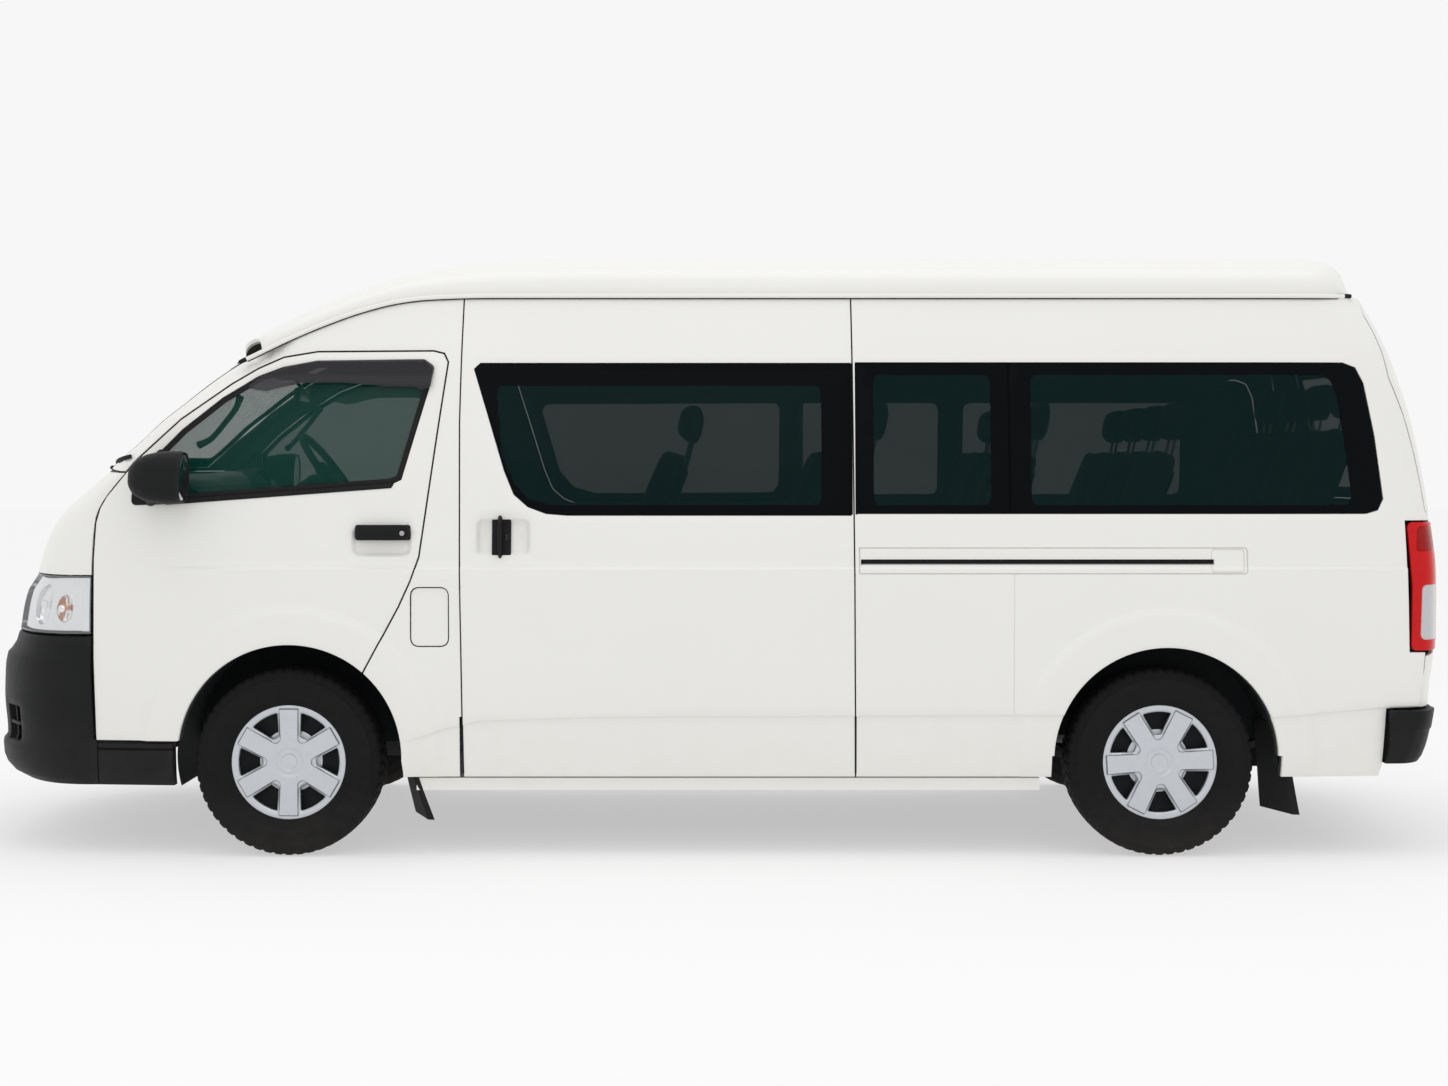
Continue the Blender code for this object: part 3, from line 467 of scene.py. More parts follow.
def block(name, lo, hi, mat, r=.006, seg=3, rot=None, taper=None):
    """A box with rounded edges."""
    lo, hi = Vector(lo), Vector(hi)
    bm = bmesh.new()
    bmesh.ops.create_cube(bm, size=1.0)
    s = hi - lo
    for v in bm.verts:
        v.co = Vector((v.co.x * s.x, v.co.y * s.y, v.co.z * s.z))
        if taper and v.co.z > 0:
            v.co.x *= taper[0]
            v.co.y *= taper[1]
    bmesh.ops.bevel(bm, geom=list(bm.edges) + list(bm.verts), offset=min(r, min(s) * .49), segments=seg, affect="EDGES", profile=.5)
    me = bpy.data.meshes.new(name)
    T = Matrix.Translation((lo + hi) / 2)
    if rot is not None:
        T = T @ rot
    bm.transform(T)
    bm.to_mesh(me)
    bm.free()
    me.materials.append(mat)
    sharp(me)
    o = bpy.data.objects.new(name, me)
    bpy.context.scene.collection.objects.link(o)
    return o


# ================================================================ materials
def lin(*c):
    """An sRGB colour of 0 to 255 as linear values."""
    return tuple((v / 255 / 12.92 if v <= 10.31 else ((v / 255 + .055) / 1.055) ** 2.4) for v in c)


def material(name, base, rough=.5, metal=0.0, var=.06, scale=6.0, bump=0.0, bscale=300.0, spec=.5, coat=0.0, coat_rough=.03, alpha=1.0,
             rvar=.08, dust=None, wear=None, kind="noise", emit=None, sheen=0.0, stretch=(1, 1, 1), detail=4.0):
    m = bpy.data.materials.new(name)
    m.use_nodes = True
    nt = m.node_tree
    b = nt.nodes["Principled BSDF"]
    N, L = nt.nodes.new, nt.links.new
    b.inputs["Metallic"].default_value = metal
    b.inputs["Specular IOR Level"].default_value = spec
    b.inputs["Coat Weight"].default_value = coat
    b.inputs["Coat Roughness"].default_value = coat_rough
    b.inputs["Alpha"].default_value = alpha
    b.inputs["Sheen Weight"].default_value = sheen
    if emit:
        b.inputs["Emission Color"].default_value = (*emit[0], 1)
        b.inputs["Emission Strength"].default_value = emit[1]
    co = N("ShaderNodeTexCoord")
    mp = N("ShaderNodeMapping")
    mp.inputs["Scale"].default_value = stretch
    L(co.outputs["Object"], mp.inputs["Vector"])
    n1 = N("ShaderNodeTexNoise")
    n1.inputs["Scale"].default_value = scale
    n1.inputs["Detail"].default_value = detail
    L(mp.outputs[0], n1.inputs["Vector"])
    mix = N("ShaderNodeMix")
    mix.data_type = "RGBA"
    mix.inputs[6].default_value = (*[v * (1 - var) for v in base], 1)
    mix.inputs[7].default_value = (*[min(1, v * (1 + var)) for v in base], 1)
    L(n1.outputs["Fac"], mix.inputs[0])
    colour = mix.outputs[2]
    if dust:                                        # (colour, full at z, gone at z, strength)
        sep = N("ShaderNodeSeparateXYZ")
        L(co.outputs["Object"], sep.inputs[0])
        mr = N("ShaderNodeMapRange")
        mr.inputs["From Min"].default_value, mr.inputs["From Max"].default_value = dust[1], dust[2]
        mr.inputs["To Min"].default_value, mr.inputs["To Max"].default_value = dust[3], 0
        L(sep.outputs["Z"], mr.inputs["Value"])
        n3 = N("ShaderNodeTexNoise")
        n3.inputs["Scale"].default_value = 14
        n3.inputs["Detail"].default_value = 8
        L(co.outputs["Object"], n3.inputs["Vector"])
        mu = N("ShaderNodeMath")
        mu.operation = "MULTIPLY"
        L(mr.outputs[0], mu.inputs[0])
        L(n3.outputs["Fac"], mu.inputs[1])
        mix2 = N("ShaderNodeMix")
        mix2.data_type = "RGBA"
        L(mu.outputs[0], mix2.inputs[0])
        L(colour, mix2.inputs[6])
        mix2.inputs[7].default_value = (*dust[0], 1)
        colour = mix2.outputs[2]
    if wear:                                        # (colour, strength) along edges
        ge = N("ShaderNodeNewGeometry")
        mr = N("ShaderNodeMapRange")
        mr.inputs["From Min"].default_value, mr.inputs["From Max"].default_value = .52, .62
        mr.inputs["To Max"].default_value = wear[1]
        L(ge.outputs["Pointiness"], mr.inputs["Value"])
        mix3 = N("ShaderNodeMix")
        mix3.data_type = "RGBA"
        L(mr.outputs[0], mix3.inputs[0])
        L(colour, mix3.inputs[6])
        mix3.inputs[7].default_value = (*wear[0], 1)
        colour = mix3.outputs[2]
    L(colour, b.inputs["Base Color"])
    mr = N("ShaderNodeMapRange")
    mr.inputs["To Min"].default_value, mr.inputs["To Max"].default_value = max(0, rough - rvar), min(1, rough + rvar)
    n2 = N("ShaderNodeTexNoise")
    n2.inputs["Scale"].default_value = scale * 2.7
    n2.inputs["Detail"].default_value = 5
    L(mp.outputs[0], n2.inputs["Vector"])
    L(n2.outputs["Fac"], mr.inputs["Value"])
    L(mr.outputs[0], b.inputs["Roughness"])
    if bump:
        if kind == "weave":
            t = N("ShaderNodeTexWave")
            t.inputs["Scale"].default_value = bscale
            t.inputs["Distortion"].default_value = .6
            t2 = N("ShaderNodeTexWave")
            t2.bands_direction = "Z"
            t2.inputs["Scale"].default_value = bscale
            t2.inputs["Distortion"].default_value = .6
            L(co.outputs["Object"], t.inputs["Vector"])
            L(co.outputs["Object"], t2.inputs["Vector"])
            mx = N("ShaderNodeMath")
            mx.operation = "MAXIMUM"
            L(t.outputs["Fac"], mx.inputs[0])
            L(t2.outputs["Fac"], mx.inputs[1])
            h = mx.outputs[0]
        elif kind == "grain":
            t = N("ShaderNodeTexVoronoi")
            t.inputs["Scale"].default_value = bscale
            L(co.outputs["Object"], t.inputs["Vector"])
            h = t.outputs["Distance"]
        else:
            t = N("ShaderNodeTexNoise")
            t.inputs["Scale"].default_value = bscale
            t.inputs["Detail"].default_value = 3
            L(co.outputs["Object"], t.inputs["Vector"])
            h = t.outputs["Fac"]
        bp = N("ShaderNodeBump")
        bp.inputs["Strength"].default_value = bump
        bp.inputs["Distance"].default_value = .001
        L(h, bp.inputs["Height"])
        L(bp.outputs[0], b.inputs["Normal"])
    m.diffuse_color = (*base, alpha)
    return m


PAINT = material("paint_white", (.800, .795, .766), .30, var=.012, scale=1.6, rvar=.05, spec=.35, coat=.25, coat_rough=.05, bump=.012, bscale=900,
                 dust=((.60, .57, .50), .22, .70, .22))
# the white body paint darkened to about half: painted shade for the shut and inner faces
PAINT_SHADED = material("paint_shaded_inside", (.42, .42, .40), .45, var=.05, rvar=.05, spec=.3)
TRIM = material("trim_grey", lin(60, 66, 68), .75, var=.12, scale=9, bump=.25, bscale=700, kind="grain", spec=.25, wear=(lin(80, 84, 84), .25))
CLOTH = material("seat_weave", lin(24, 30, 33), .92, var=.28, scale=160, bump=.5, bscale=420, kind="weave", spec=.12, sheen=.15)
CLOTH2 = material("seat_panel_weave", lin(33, 40, 43), .92, var=.35, scale=240, bump=.6, bscale=300, kind="weave", spec=.12, sheen=.15)
BLACK = material("black_moulded", (.0072, .0076, .0084), .50, var=.22, scale=14, bump=.35, bscale=900, kind="grain", spec=.16, dust=((.10, .095, .085), .2, .5, .16), wear=((.03, .03, .032), .5))
GLOSS = material("black_gloss", (.006, .0065, .007), .16, var=.1, spec=.30, rvar=.05, bump=.01, bscale=500)
SEAL = material("rubber_seal", (.010, .010, .011), .72, var=.25, scale=40, bump=.2, bscale=500, spec=.2)
FRIT = material("glass_frit", lin(5, 8, 11), .10, var=.10, spec=.05, rvar=.04)
GLASS = material("glass_side", (.001, .012, .012), .05, var=.10, scale=2, spec=.10, alpha=.61, rvar=.02)
GLASS_D = material("glass_door", (.004, .048, .035), .05, var=.10, scale=2, spec=.12, alpha=.52, rvar=.02)
GLASS_W = material("glass_screen", (.035, .20, .15), .04, var=.08, scale=2, spec=.25, alpha=.13, rvar=.02)
VISOR = material("smoked_acrylic", (.012, .011, .016), .10, var=.10, spec=.5, alpha=.62, rvar=.03)
RUBBER = material("tyre_rubber_black", (.0070, .0072, .0078), .78, var=.30, scale=26, bump=.35, bscale=350, spec=.16, rvar=.10, dust=((.07, .062, .052), .0, .25, .35))
SILVER = material("wheel_paint", lin(196, 199, 204), .30, metal=.72, var=.05, scale=40, spec=.5, coat=.4, coat_rough=.12, rvar=.06, bump=.04, bscale=1500, dust=((.20, .18, .16), .1, .35, .18))
STEEL = material("underbody_metal", (.035, .036, .038), .62, metal=.4, var=.35, scale=14, bump=.3, bscale=260, rvar=.14, dust=((.12, .10, .08), .1, .6, .4))
BARE = material("bright_steel", (.42, .42, .43), .32, metal=1.0, var=.10, scale=60, rvar=.1, bump=.1, bscale=400, stretch=(1, 12, 1))
CHROME = material("lamp_reflector", (.78, .79, .80), .13, metal=1.0, var=.03, rvar=.05, bump=.05, bscale=120)
LENS = material("lamp_clear", (.80, .82, .84), .06, var=.03, spec=.5, alpha=.10, rvar=.02)
AMBER = material("amber_bulb", (.85, .25, .04), .25, var=.15, scale=30, spec=.5, coat=.5)
REDL = material("lamp_red", lin(196, 4, 6), .20, var=.10, scale=50, spec=.2, coat=.12, bump=.25, bscale=260, kind="grain", rvar=.04)
REDD = material("lamp_red_deep", lin(150, 3, 4), .20, var=.15, scale=50, spec=.2, coat=.12, bump=.4, bscale=260, kind="grain", rvar=.04)
CLEARL = material("lamp_pearl", lin(188, 188, 190), .16, var=.07, scale=60, spec=.5, coat=.6, bump=.4, bscale=220, kind="grain", rvar=.05)
DASH = material("dash_grey", lin(74, 84, 86), .72, var=.12, scale=16, bump=.35, bscale=600, kind="grain", spec=.25)
DASHL = material("dash_light", lin(132, 140, 138), .68, var=.08, scale=16, bump=.3, bscale=600, kind="grain", spec=.25)
DARKP = material("dark_interior", lin(20, 24, 26), .66, var=.2, scale=16, bump=.3, bscale=600, kind="grain", spec=.25)
LINING = material("roof_lining", lin(150, 150, 144), .95, var=.10, scale=120, bump=.4, bscale=700, spec=.1)
CARPET = material("floor_mat", lin(38, 40, 42), .95, var=.35, scale=90, bump=.7, bscale=260, spec=.1)
MIRG = material("mirror_face", (.55, .58, .60), .04, metal=1.0, var=.03, rvar=.01)
DIAL = material("instrument_face", lin(12, 14, 15), .3, var=.2, scale=90, spec=.4)
PLATE = material("blank_plate", lin(206, 206, 200), .5, var=.04, scale=30, bump=.15, bscale=300, wear=((.4, .4, .38), .3))

# ================================================================ outlines of the body (as in the CAD)
DOOR_F = [(-2.188, .412), (-2.196, .70), (-2.194, 1.06), (-2.188, 1.19), (-2.174, 1.242), (-2.150, 1.284), (-2.050, 1.406),
          (-1.885, 1.558), (-1.703, 1.685), (-1.610, 1.740), (-1.520, 1.780), (-1.400, 1.800), (-.985, 1.803),
          (-.948, 1.794), (-.934, 1.765), (-.968, 1.523), (-1.030, 1.070), (-1.060, .985), (-1.101, .895),
          (-1.228, .660), (-1.45, .5), (-1.893, .412)]
DOOR_GLASS = [(-1.948, 1.268), (-1.126, 1.330), (-1.094, 1.345), (-1.000, 1.669), (-.990, 1.742), (-1.016, 1.766),
              (-1.40, 1.763), (-1.52, 1.746), (-1.61, 1.712), (-1.736, 1.636), (-1.88, 1.522), (-1.955, 1.446)]
SLIDING = [(-.869, .284), (.525, .284), (.519, 1.20), (.513, 1.998), (-.878, 1.998), (-.885, 1.55), (-.880, 1.06)]
SLIDE_GLASS = [(-.836, 1.740), (-.785, 1.575), (-.725, 1.376), (-.690, 1.292), (-.640, 1.248), (-.575, 1.224),
               (-.500, 1.218), (.510, 1.218), (.510, 1.760), (-.815, 1.760)]
SIDE_GLASS = [(.530, 1.224), (2.350, 1.224), (2.392, 1.236), (2.412, 1.275), (2.386, 1.500), (2.352, 1.690),
              (2.325, 1.745), (2.280, 1.762), (.530, 1.762)]
FLAP = rounded([(-1.054, .753), (-.923, .753), (-.923, .959), (-1.054, .959)], .03)
GATE_KEY = [(.53, .888), (.712, .888), (.728, .775), (1.195, .775), (1.235, .855), (1.71, .838), (1.940, .780), (2.000, .720)]
GATE_EDGE = [(z, tab(GATE_KEY, z)) for z in (.53, .64, .712, .728, .79, .99, 1.195, 1.235, 1.32, 1.45, 1.573, 1.71, 1.80, 1.877, 1.94, 1.97, 2.0)]
SCREEN_EDGE = [(1.785, .775), (1.735, .765), (1.62, .755), (1.50, .75), (1.385, .75)]
xrl = lambda z: float(xr_(z))
xel = lambda z: float(xe_(z))
BODY_SIDE = ([(-1.20, .284), (2.40, .284), (2.412, .325), (2.425, .526)]
             + [(gate_q(z, y) - GAP, z) for z, y in GATE_EDGE if z < .72]
             + [(gate_q(.727, .888) - GAP, .727), (xrl(.727) + .01, .727), (xrl(1.198) + .01, 1.198), (gate_q(1.20, .82), 1.198)]
             + [(gate_q(z, y) - GAP * .7, z) for z, y in GATE_EDGE if z > 1.2]
             + [(gate_q(2.0, .72) - GAP * .7, 2.005)]
             + [(x, float(zg_(x)) - .004) for x in (2.262, 1.9, 0, -.788, -.9, -1.011, -1.06, -1.121, -1.18, -1.249, -1.31, -1.377, -1.44, -1.505, -1.55, -1.59)]
             + [(q_nose(y, z), z) for z, y in SCREEN_EDGE]
             + [(xel(1.37) - .02, 1.374), (xel(1.37) + .05, 1.374), (-1.30, .90)])
LAMP_HOLE = [(xrl(.73) - .012, .727), (xrl(.73) + .5, .727), (xrl(1.198) + .5, 1.198), (xrl(1.198) - .012, 1.198)]
arch_f, arch_b = circle(ARCH_F, ARCH_R, 120), circle(ARCH_B, ARCH_R, 120)
below_f = [(-2.5, .0), (-1.085, .0), (-1.085, .30), (-1.10, .42), (-1.49, .5), (-2.5, .405)]
below_b = [(1.222, .0), (2.046, .0), (2.046, .36), (1.226, .36)]

LOWER = [(-1.20, .40), (-1.044, .421), (-.953, .453), (-.81, .486), (-.38, .50), (1.257, .507), (2.018, .50), (2.427, .532), (2.8, .54)]
zlow = lambda q: np.interp(q, [a for a, b in LOWER], [b for a, b in LOWER])
RAIL = rounded([(.540, 1.010), (1.918, 1.010), (1.918, 1.101), (.540, 1.101)], [.002, .014, .014, .002])
SLOT = [(.545, 1.0415), (1.800, 1.0415), (1.800, 1.0605), (.545, 1.0605)]
ENDP = rounded([(1.790, 1.016), (1.906, 1.016), (1.906, 1.095), (1.790, 1.095)], .012)
S_HANDLE = (-.828, 1.069, -.628, 1.209)
F_HANDLE = (-1.268, 1.069, -1.052, 1.180)
GROOVES = [(RAIL, True), ([(1.09, .515), (1.09, 1.009)], False)]


def dish(q, z, r, edge):
    """1 inside the rounded rectangle r, falling to 0 across its edge."""
    x0, z0, x1, z1 = r
    cx, cz, hx, hz = (x0 + x1) / 2, (z0 + z1) / 2, (x1 - x0) / 2, (z1 - z0) / 2
    k = .028
    dx, dz = np.abs(q - cx) - (hx - k), np.abs(z - cz) - (hz - k)
    d = np.hypot(np.maximum(dx, 0), np.maximum(dz, 0)) + np.minimum(np.maximum(dx, dz), 0) - k
    return ramp(0, -edge, d)


def detail(q, z, left=True):
    """How far the body side stands proud of its plain surface."""
    q, z = np.asarray(q, float), np.asarray(z, float)
    d = .0075 * ramp(-2.12, -1.75, q) * ramp(1.0345, 1.026, z) * ramp(.66, .98, z)
    zl = zlow(q)
    d = d - .0085 * ramp(-1.13, -1.0, q) * ramp(zl + .003, zl - .007, z)
    for (cx, cz), a in ((ARCH_F, 0), (ARCH_B, 0)):
        r = np.hypot(q - cx, z - cz)
        d = d + .0150 * ramp(.550, .508, r) * ramp(.24, .36, z) - .003 * ramp(.412, .400, r)
    if left:
        d = d - .016 * dish(q, z, S_HANDLE, .020)
    d = d - .015 * dish(q, z, F_HANDLE, .016)
    return d


def groove(P, lines, hw, deep):
    return -deep * ramp(hw, hw * .25, dist(P, lines, near=hw * 2))


def side_off(left=True, rail=False):
    def f(u, v):
        d = detail(u, v, left)
        if rail:
            P = np.stack([u, v], 1)
            d = d + groove(P, GROOVES[:1], .0030, .0060) + groove(P, GROOVES[1:2], .0020, .0025) + groove(P, [(ENDP, True)], .0020, .0035)
        return d
    return f


def side_feats(x0, x1, left=True):
    f = []
    for z in (1.026, 1.029, 1.0318, 1.0345):
        f.append(([(max(x0, -2.1), z), (x1, z)], False))
    for d in (-.007, -.0045, -.002, .0005, .003):
        f.append(([(max(x0, -1.13), float(zlow(max(x0, -1.13))) + d)] + [(a, b + d) for a, b in LOWER if max(x0, -1.13) < a < x1] + [(x1, float(zlow(x1)) + d)], False))
    for c in (ARCH_F, ARCH_B):
        if x0 < c[0] + .55 and x1 > c[0] - .55:
            for r in (.404, .408, .412, .506, .516, .526, .537, .548):
                f.append((arc(c, r, -.15 * PI, 1.15 * PI, 120), False))
    hs = ([S_HANDLE] if left else []) + [F_HANDLE]
    for r, e in ((h, .020 if h is S_HANDLE else .016) for h in hs):
        if r[0] > x0 and r[2] < x1 + .3:
            for k in (0, .33, .66, 1.0):
                f.append((rounded([(r[0] + e * k, r[1] + e * k), (r[2] - e * k, r[1] + e * k), (r[2] - e * k, r[3] - e * k), (r[0] + e * k, r[3] - e * k)], .028 - .012 * k), True))
    return f


# ---------------------------------------------------------------- sides
for L, mir in (("left", False), ("right", True)):
    cut = [grow(DOOR_F, GAP), arch_f, arch_b, below_f, below_b, grow(SIDE_GLASS, PLAY), LAMP_HOLE]
    if mir:
        cut += [grow(SLIDE_GLASS, PLAY)]
        fe = side_feats(-2.3, 2.7, False)
        rail = False
    else:
        cut += [grow(SLIDING, PLAY * 2), [(-.884, .1), (.53, .1), (.53, .5), (-.884, .5)], grow(FLAP, .004), SLOT]
        rail = True
        fe = side_feats(-2.3, 2.7)
        for w_ in (-.0030, -.0015, 0, .0015, .0030):
            fe.append((grow(RAIL, w_), True))
        for w_ in (-.0020, -.0008, .0008, .0020):
            fe.append((grow(ENDP, w_), True))
            fe.append(([(1.09 + w_, .515), (1.09 + w_, 1.009)], False))
    put(shell("body_side_" + L, [BODY_SIDE], cut, side, [PAINT, TRIM], side_off(not mir, rail), step=.032, feats=fe, mirror=mir),
        "van_body", "body_paint", "side_panel_" + L)
    dcut = [arch_f, [(-2.5, .0), (-1.085, .0), (-1.085, .30), (-1.10, .42), (-1.49, .5), (-1.883, .408), (-2.5, .408)], grow(DOOR_GLASS, PLAY)]
    put(shell("cab_door_" + L, [DOOR_F], dcut, side, [PAINT, TRIM], side_off(not mir), step=.028, feats=side_feats(-2.3, -.93, True), mirror=mir),
        "cab_door_" + L, "body_paint", "front_door_" + L)
put(shell("sliding_door_skin", [SLIDING], [grow(SLIDE_GLASS, PLAY)], side, [PAINT, TRIM], side_off(True), step=.03, feats=side_feats(-.9, .53)),
    "van_body", "body_paint", "sliding_door")
# the flap's inner face is in the darkened paint: painted shade
put(shell("filler_flap_skin", [FLAP], [], side, [PAINT, PAINT_SHADED], 0.0, thick=.008, step=.02, lip=.004), "filler_flap", "body_paint", "fuel_flap")

# ---------------------------------------------------------------- windows
PI2 = PI / 2
T1 = rounded([(-.735, 1.43), (-.690, 1.33), (-.640, 1.275), (-.560, 1.253), (.390, 1.253), (.406, 1.275), (.406, 1.664), (.392, 1.680), (-.742, 1.680), (-.755, 1.66)], .012, 3)
T2 = rounded([(.592, 1.253), (1.011, 1.253), (1.011, 1.720), (.592, 1.720)], .03)
T3 = rounded([(1.155, 1.253), (2.285, 1.253), (2.300, 1.285), (2.262, 1.60), (2.235, 1.70), (2.20, 1.720), (1.155, 1.720)], .03)
W1 = rounded([(-.735, 1.63), (-.720, 1.660), (.285, 1.665), (.300, 1.645), (.297, 1.31), (.27, 1.276), (-.50, 1.272), (-.60, 1.30), (-.660, 1.37)], .03)
W2 = rounded([(.402, 1.268), (.991, 1.268), (.991, 1.665), (.402, 1.665)], .035)
W3 = rounded([(1.10, 1.268), (2.05, 1.268), (2.05, 1.665), (1.10, 1.665)], .035)


def frit(clear):
    """0 (printed black) outside the clear outlines, 1 inside them."""
    def f(u, v):
        P = np.stack([u, v], 1)
        c = np.zeros(len(P), bool)
        for p in clear:
            c |= within(P, np.array(p))
        return c.astype(int)
    return f


def pane(name, outline, surf, clear, off, body, node, glass, mirror=False, seams=(), step=.05, thick=.0055):
    """A glass pane: black print round the edge, tinted glass inside the clear outlines."""
    def o(u, v):
        d = np.full(len(u), off)
        if seams:
            d = d + groove(np.stack([u, v], 1), [(s, False) for s in seams], .0035, .003)
        return d
    fe = [(p, True) for p in clear]
    for s in seams:
        for w_ in (-.0035, -.0015, 0, .0015, .0035):
            fe.append(([(a + w_, b) for a, b in s], False))
    P = shell(name, [outline], [], surf, [FRIT, glass, glass], o, thick=thick, step=step, feats=fe, rnd=.0012, lip=.002, mirror=mirror,
              pick=frit(clear), inner=lambda u, v: off - thick + 0 * u)
    # the printed band shows dark from inside too
    me = P.data
    n = len(me.polygons)
    cen = np.zeros(n * 3)
    me.polygons.foreach_get("center", cen)
    idx = np.zeros(n, np.int32)
    me.polygons.foreach_get("material_index", idx)
    half = (idx == 2)
    k = int(half.sum())
    first = np.where(idx < 2)[0]
    m = min(len(np.where(half)[0]), len(first))
    idx[np.where(half)[0][:m]] = np.where(idx[:m] == 0, 0, 1)
    me.polygons.foreach_set("material_index", idx)
    return put(P, body, "tinted_glass", node)


def border(poly, w):
    return grow(poly, -w)


pane("pane_side_left", SIDE_GLASS, side, [T2, T3], -.002, "van_body", "side_glass_left", GLASS, seams=[[(1.077, 1.224), (1.077, 1.762)]])
pane("pane_side_right", SIDE_GLASS, side, [[(max(.57, x), z) for x, z in W2], W3], -.002, "van_body", "side_glass_right", GLASS, mirror=True, seams=[[(1.047, 1.224), (1.047, 1.762)]])
pane("pane_sliding_door", SLIDE_GLASS, side, [T1], -.002, "van_body", "sliding_door_glass", GLASS)
pane("pane_side_front_right", SLIDE_GLASS, side, [W1, rounded([(.402, 1.268), (.490, 1.268), (.490, 1.665), (.402, 1.665)], .01)], -.002, "van_body", "side_window_right", GLASS, mirror=True)
for L, mir in (("left", False), ("right", True)):
    pane("pane_cab_door_" + L, DOOR_GLASS, side, [border(DOOR_GLASS, .012)], -.010, "cab_door_" + L, "front_door_glass_" + L, GLASS_D, mirror=mir, step=.04)


def strip(zy, zs, s_of, inset=0.0):
    left = [(-abs(s_of(tab(zy, z) - inset, z)), z) for z in zs]
    return left + [(-s, z) for s, z in reversed(left)]


SCREEN = [(z, y - .004) for z, y in reversed(SCREEN_EDGE)]
zz_ = [1.385, 1.42, 1.46, 1.50, 1.56, 1.62, 1.68, 1.735, 1.76, 1.785]
scr = strip(SCREEN, zz_, nose_s)
scr_in = [(s * .955, z) for s, z in strip([(z, y - .03) for z, y in SCREEN], [1.425, 1.46, 1.50, 1.56, 1.62, 1.68, 1.735, 1.752], nose_s)]
pane("pane_screen", scr, nose, [rounded(scr_in, .02, 3)], -.003, "van_body", "windscreen", GLASS_W, thick=.0085, step=.04)
GATE_GLASS = rounded([(-abs(tail_s(.70, 1.26)), 1.26), (-abs(tail_s(.66, 1.80)), 1.80), (abs(tail_s(.66, 1.80)), 1.80), (abs(tail_s(.70, 1.26)), 1.26)], .06)
pane("pane_gate", GATE_GLASS, tail, [border(GATE_GLASS, .045)], -.003, "back_gate", "tailgate_glass", GLASS_D, step=.04)


def gasket(name, outline, surf, off, w, body, mirror=False, out=.0, mat=None, d=.008, step=.03):
    """A rubber moulding round an outline: w wide, inside it, standing off the skin by off."""
    o = shell(name, [grow(outline, out)], [grow(outline, out - w)], surf, [mat or SEAL], off, thick=.004, step=step, rnd=min(.0015, w * .3), lip=.002,
              mirror=mirror, inner=lambda u, v: off - d + 0 * u)
    return put(o, body, "black_plastic")


for L, mir in (("left", False), ("right", True)):
    gasket("door_glass_frame_" + L, DOOR_GLASS, side, -.0035, .018, "cab_door_" + L, mir, out=-.0004, d=.0055)
gasket("gate_glass_moulding", GATE_GLASS, tail, .0005, .009, "back_gate", out=-.0004, d=.003, step=.05)
gasket("screen_moulding", scr, nose, .0015, .010, "van_body", out=-.0004, d=.004, step=.05)


def seam(name, outline, g, surf, body, depth=.007, mirror=False, cut=()):
    """The dark rubber at the bottom of a shut line, between an outline and the opening g outside it: a real seal, set
    shallow so the gap reads dark as painted shade.
    """
    o = shell(name, [grow(outline, g - .0003)], [grow(outline, .0012)] + list(cut), surf, [SEAL], -depth, thick=.012, step=.05, rnd=0, lip=.003, mirror=mirror,
              inner=lambda u, v: -depth - .012 + 0 * u)
    return put(o, body, "black_plastic")


# shut-line rubber set shallow: a real seal that also paints shade into the gaps
for L, mir in (("left", False), ("right", True)):
    seam("door_seal_and_shade_" + L, DOOR_F, GAP, side, "van_body", mirror=mir, cut=[circle(ARCH_F, ARCH_R + .002, 60), below_f, [(-2.19, .2), (-1.9, .2), (-1.9, .42), (-2.19, .42)]])
seam("sliding_seal_and_shade", SLIDING, PLAY * 2, side, "van_body", cut=[[(-.9, .27), (.54, .27), (.54, .295), (-.9, .295)]])
seam("flap_seal_and_shade", FLAP, .004, side, "van_body", depth=.004)

# ---------------------------------------------------------------- front and back of the body
FUSE = .585
HOOD_W = [(1.020, FUSE), (1.345, FUSE - .03)]
hz = [1.020, 1.06, 1.10, 1.15, 1.20, 1.25, 1.30, 1.345]
hood_outline = strip(HOOD_W, hz, nose_s)
hood_hole = strip(HOOD_W, [1.014] + hz[1:-1] + [1.351], nose_s, -GAP)
body_front = [(-.985, z) for z in (1.003, 1.12, 1.24, 1.368)] + [(.985, z) for z in (1.368, 1.24, 1.12, 1.003)]
under_hood = strip([(.962, .512), (1.010, .512)], [.962, 1.010], nose_s)


def front_off(s, z):
    """Bonnet swages: a shallow raised middle, and a lip along the foot of the screen."""
    return .004 * ramp(.30, .18, np.abs(s)) * ramp(1.0, 1.06, z) - .004 * ramp(1.335, 1.365, z)


ffe = [([(k, 1.0), (k, 1.37)], False) for k in (-.30, -.27, -.24, -.21, -.18, .18, .21, .24, .27, .30)]
# inner faces of nose and bonnet in the darkened paint: painted shade
put(shell("nose_skin", [body_front, under_hood], [hood_hole], nose, [PAINT, PAINT_SHADED], front_off, thick=.045, step=.03, feats=ffe), "van_body", "body_paint", "front_body")
put(shell("bonnet_skin", [hood_outline], [], nose, [PAINT, PAINT_SHADED], front_off, thick=.020, step=.03, feats=ffe), "bonnet", "body_paint", "hood")
# rubber set shallow in the bonnet gap: a real seal that also paints shade into the gap
seam("bonnet_seal_and_shade", hood_outline, .004, nose, "van_body", depth=.010)

gate = [(-abs(tail_s(y, z)), z) for z, y in GATE_EDGE]
gate = gate + [(-s, z) for s, z in reversed(gate)]
SY = lambda y, z: abs(tail_s(y, z))
PL = [(-.30, .800), (.30, .800), (.30, 1.010), (-.30, 1.010)]      # recess for the plate, in y and z
pl_out = [(math.copysign(SY(abs(y), z), y), z) for y, z in PL]
pl_r = rounded(pl_out, .03)


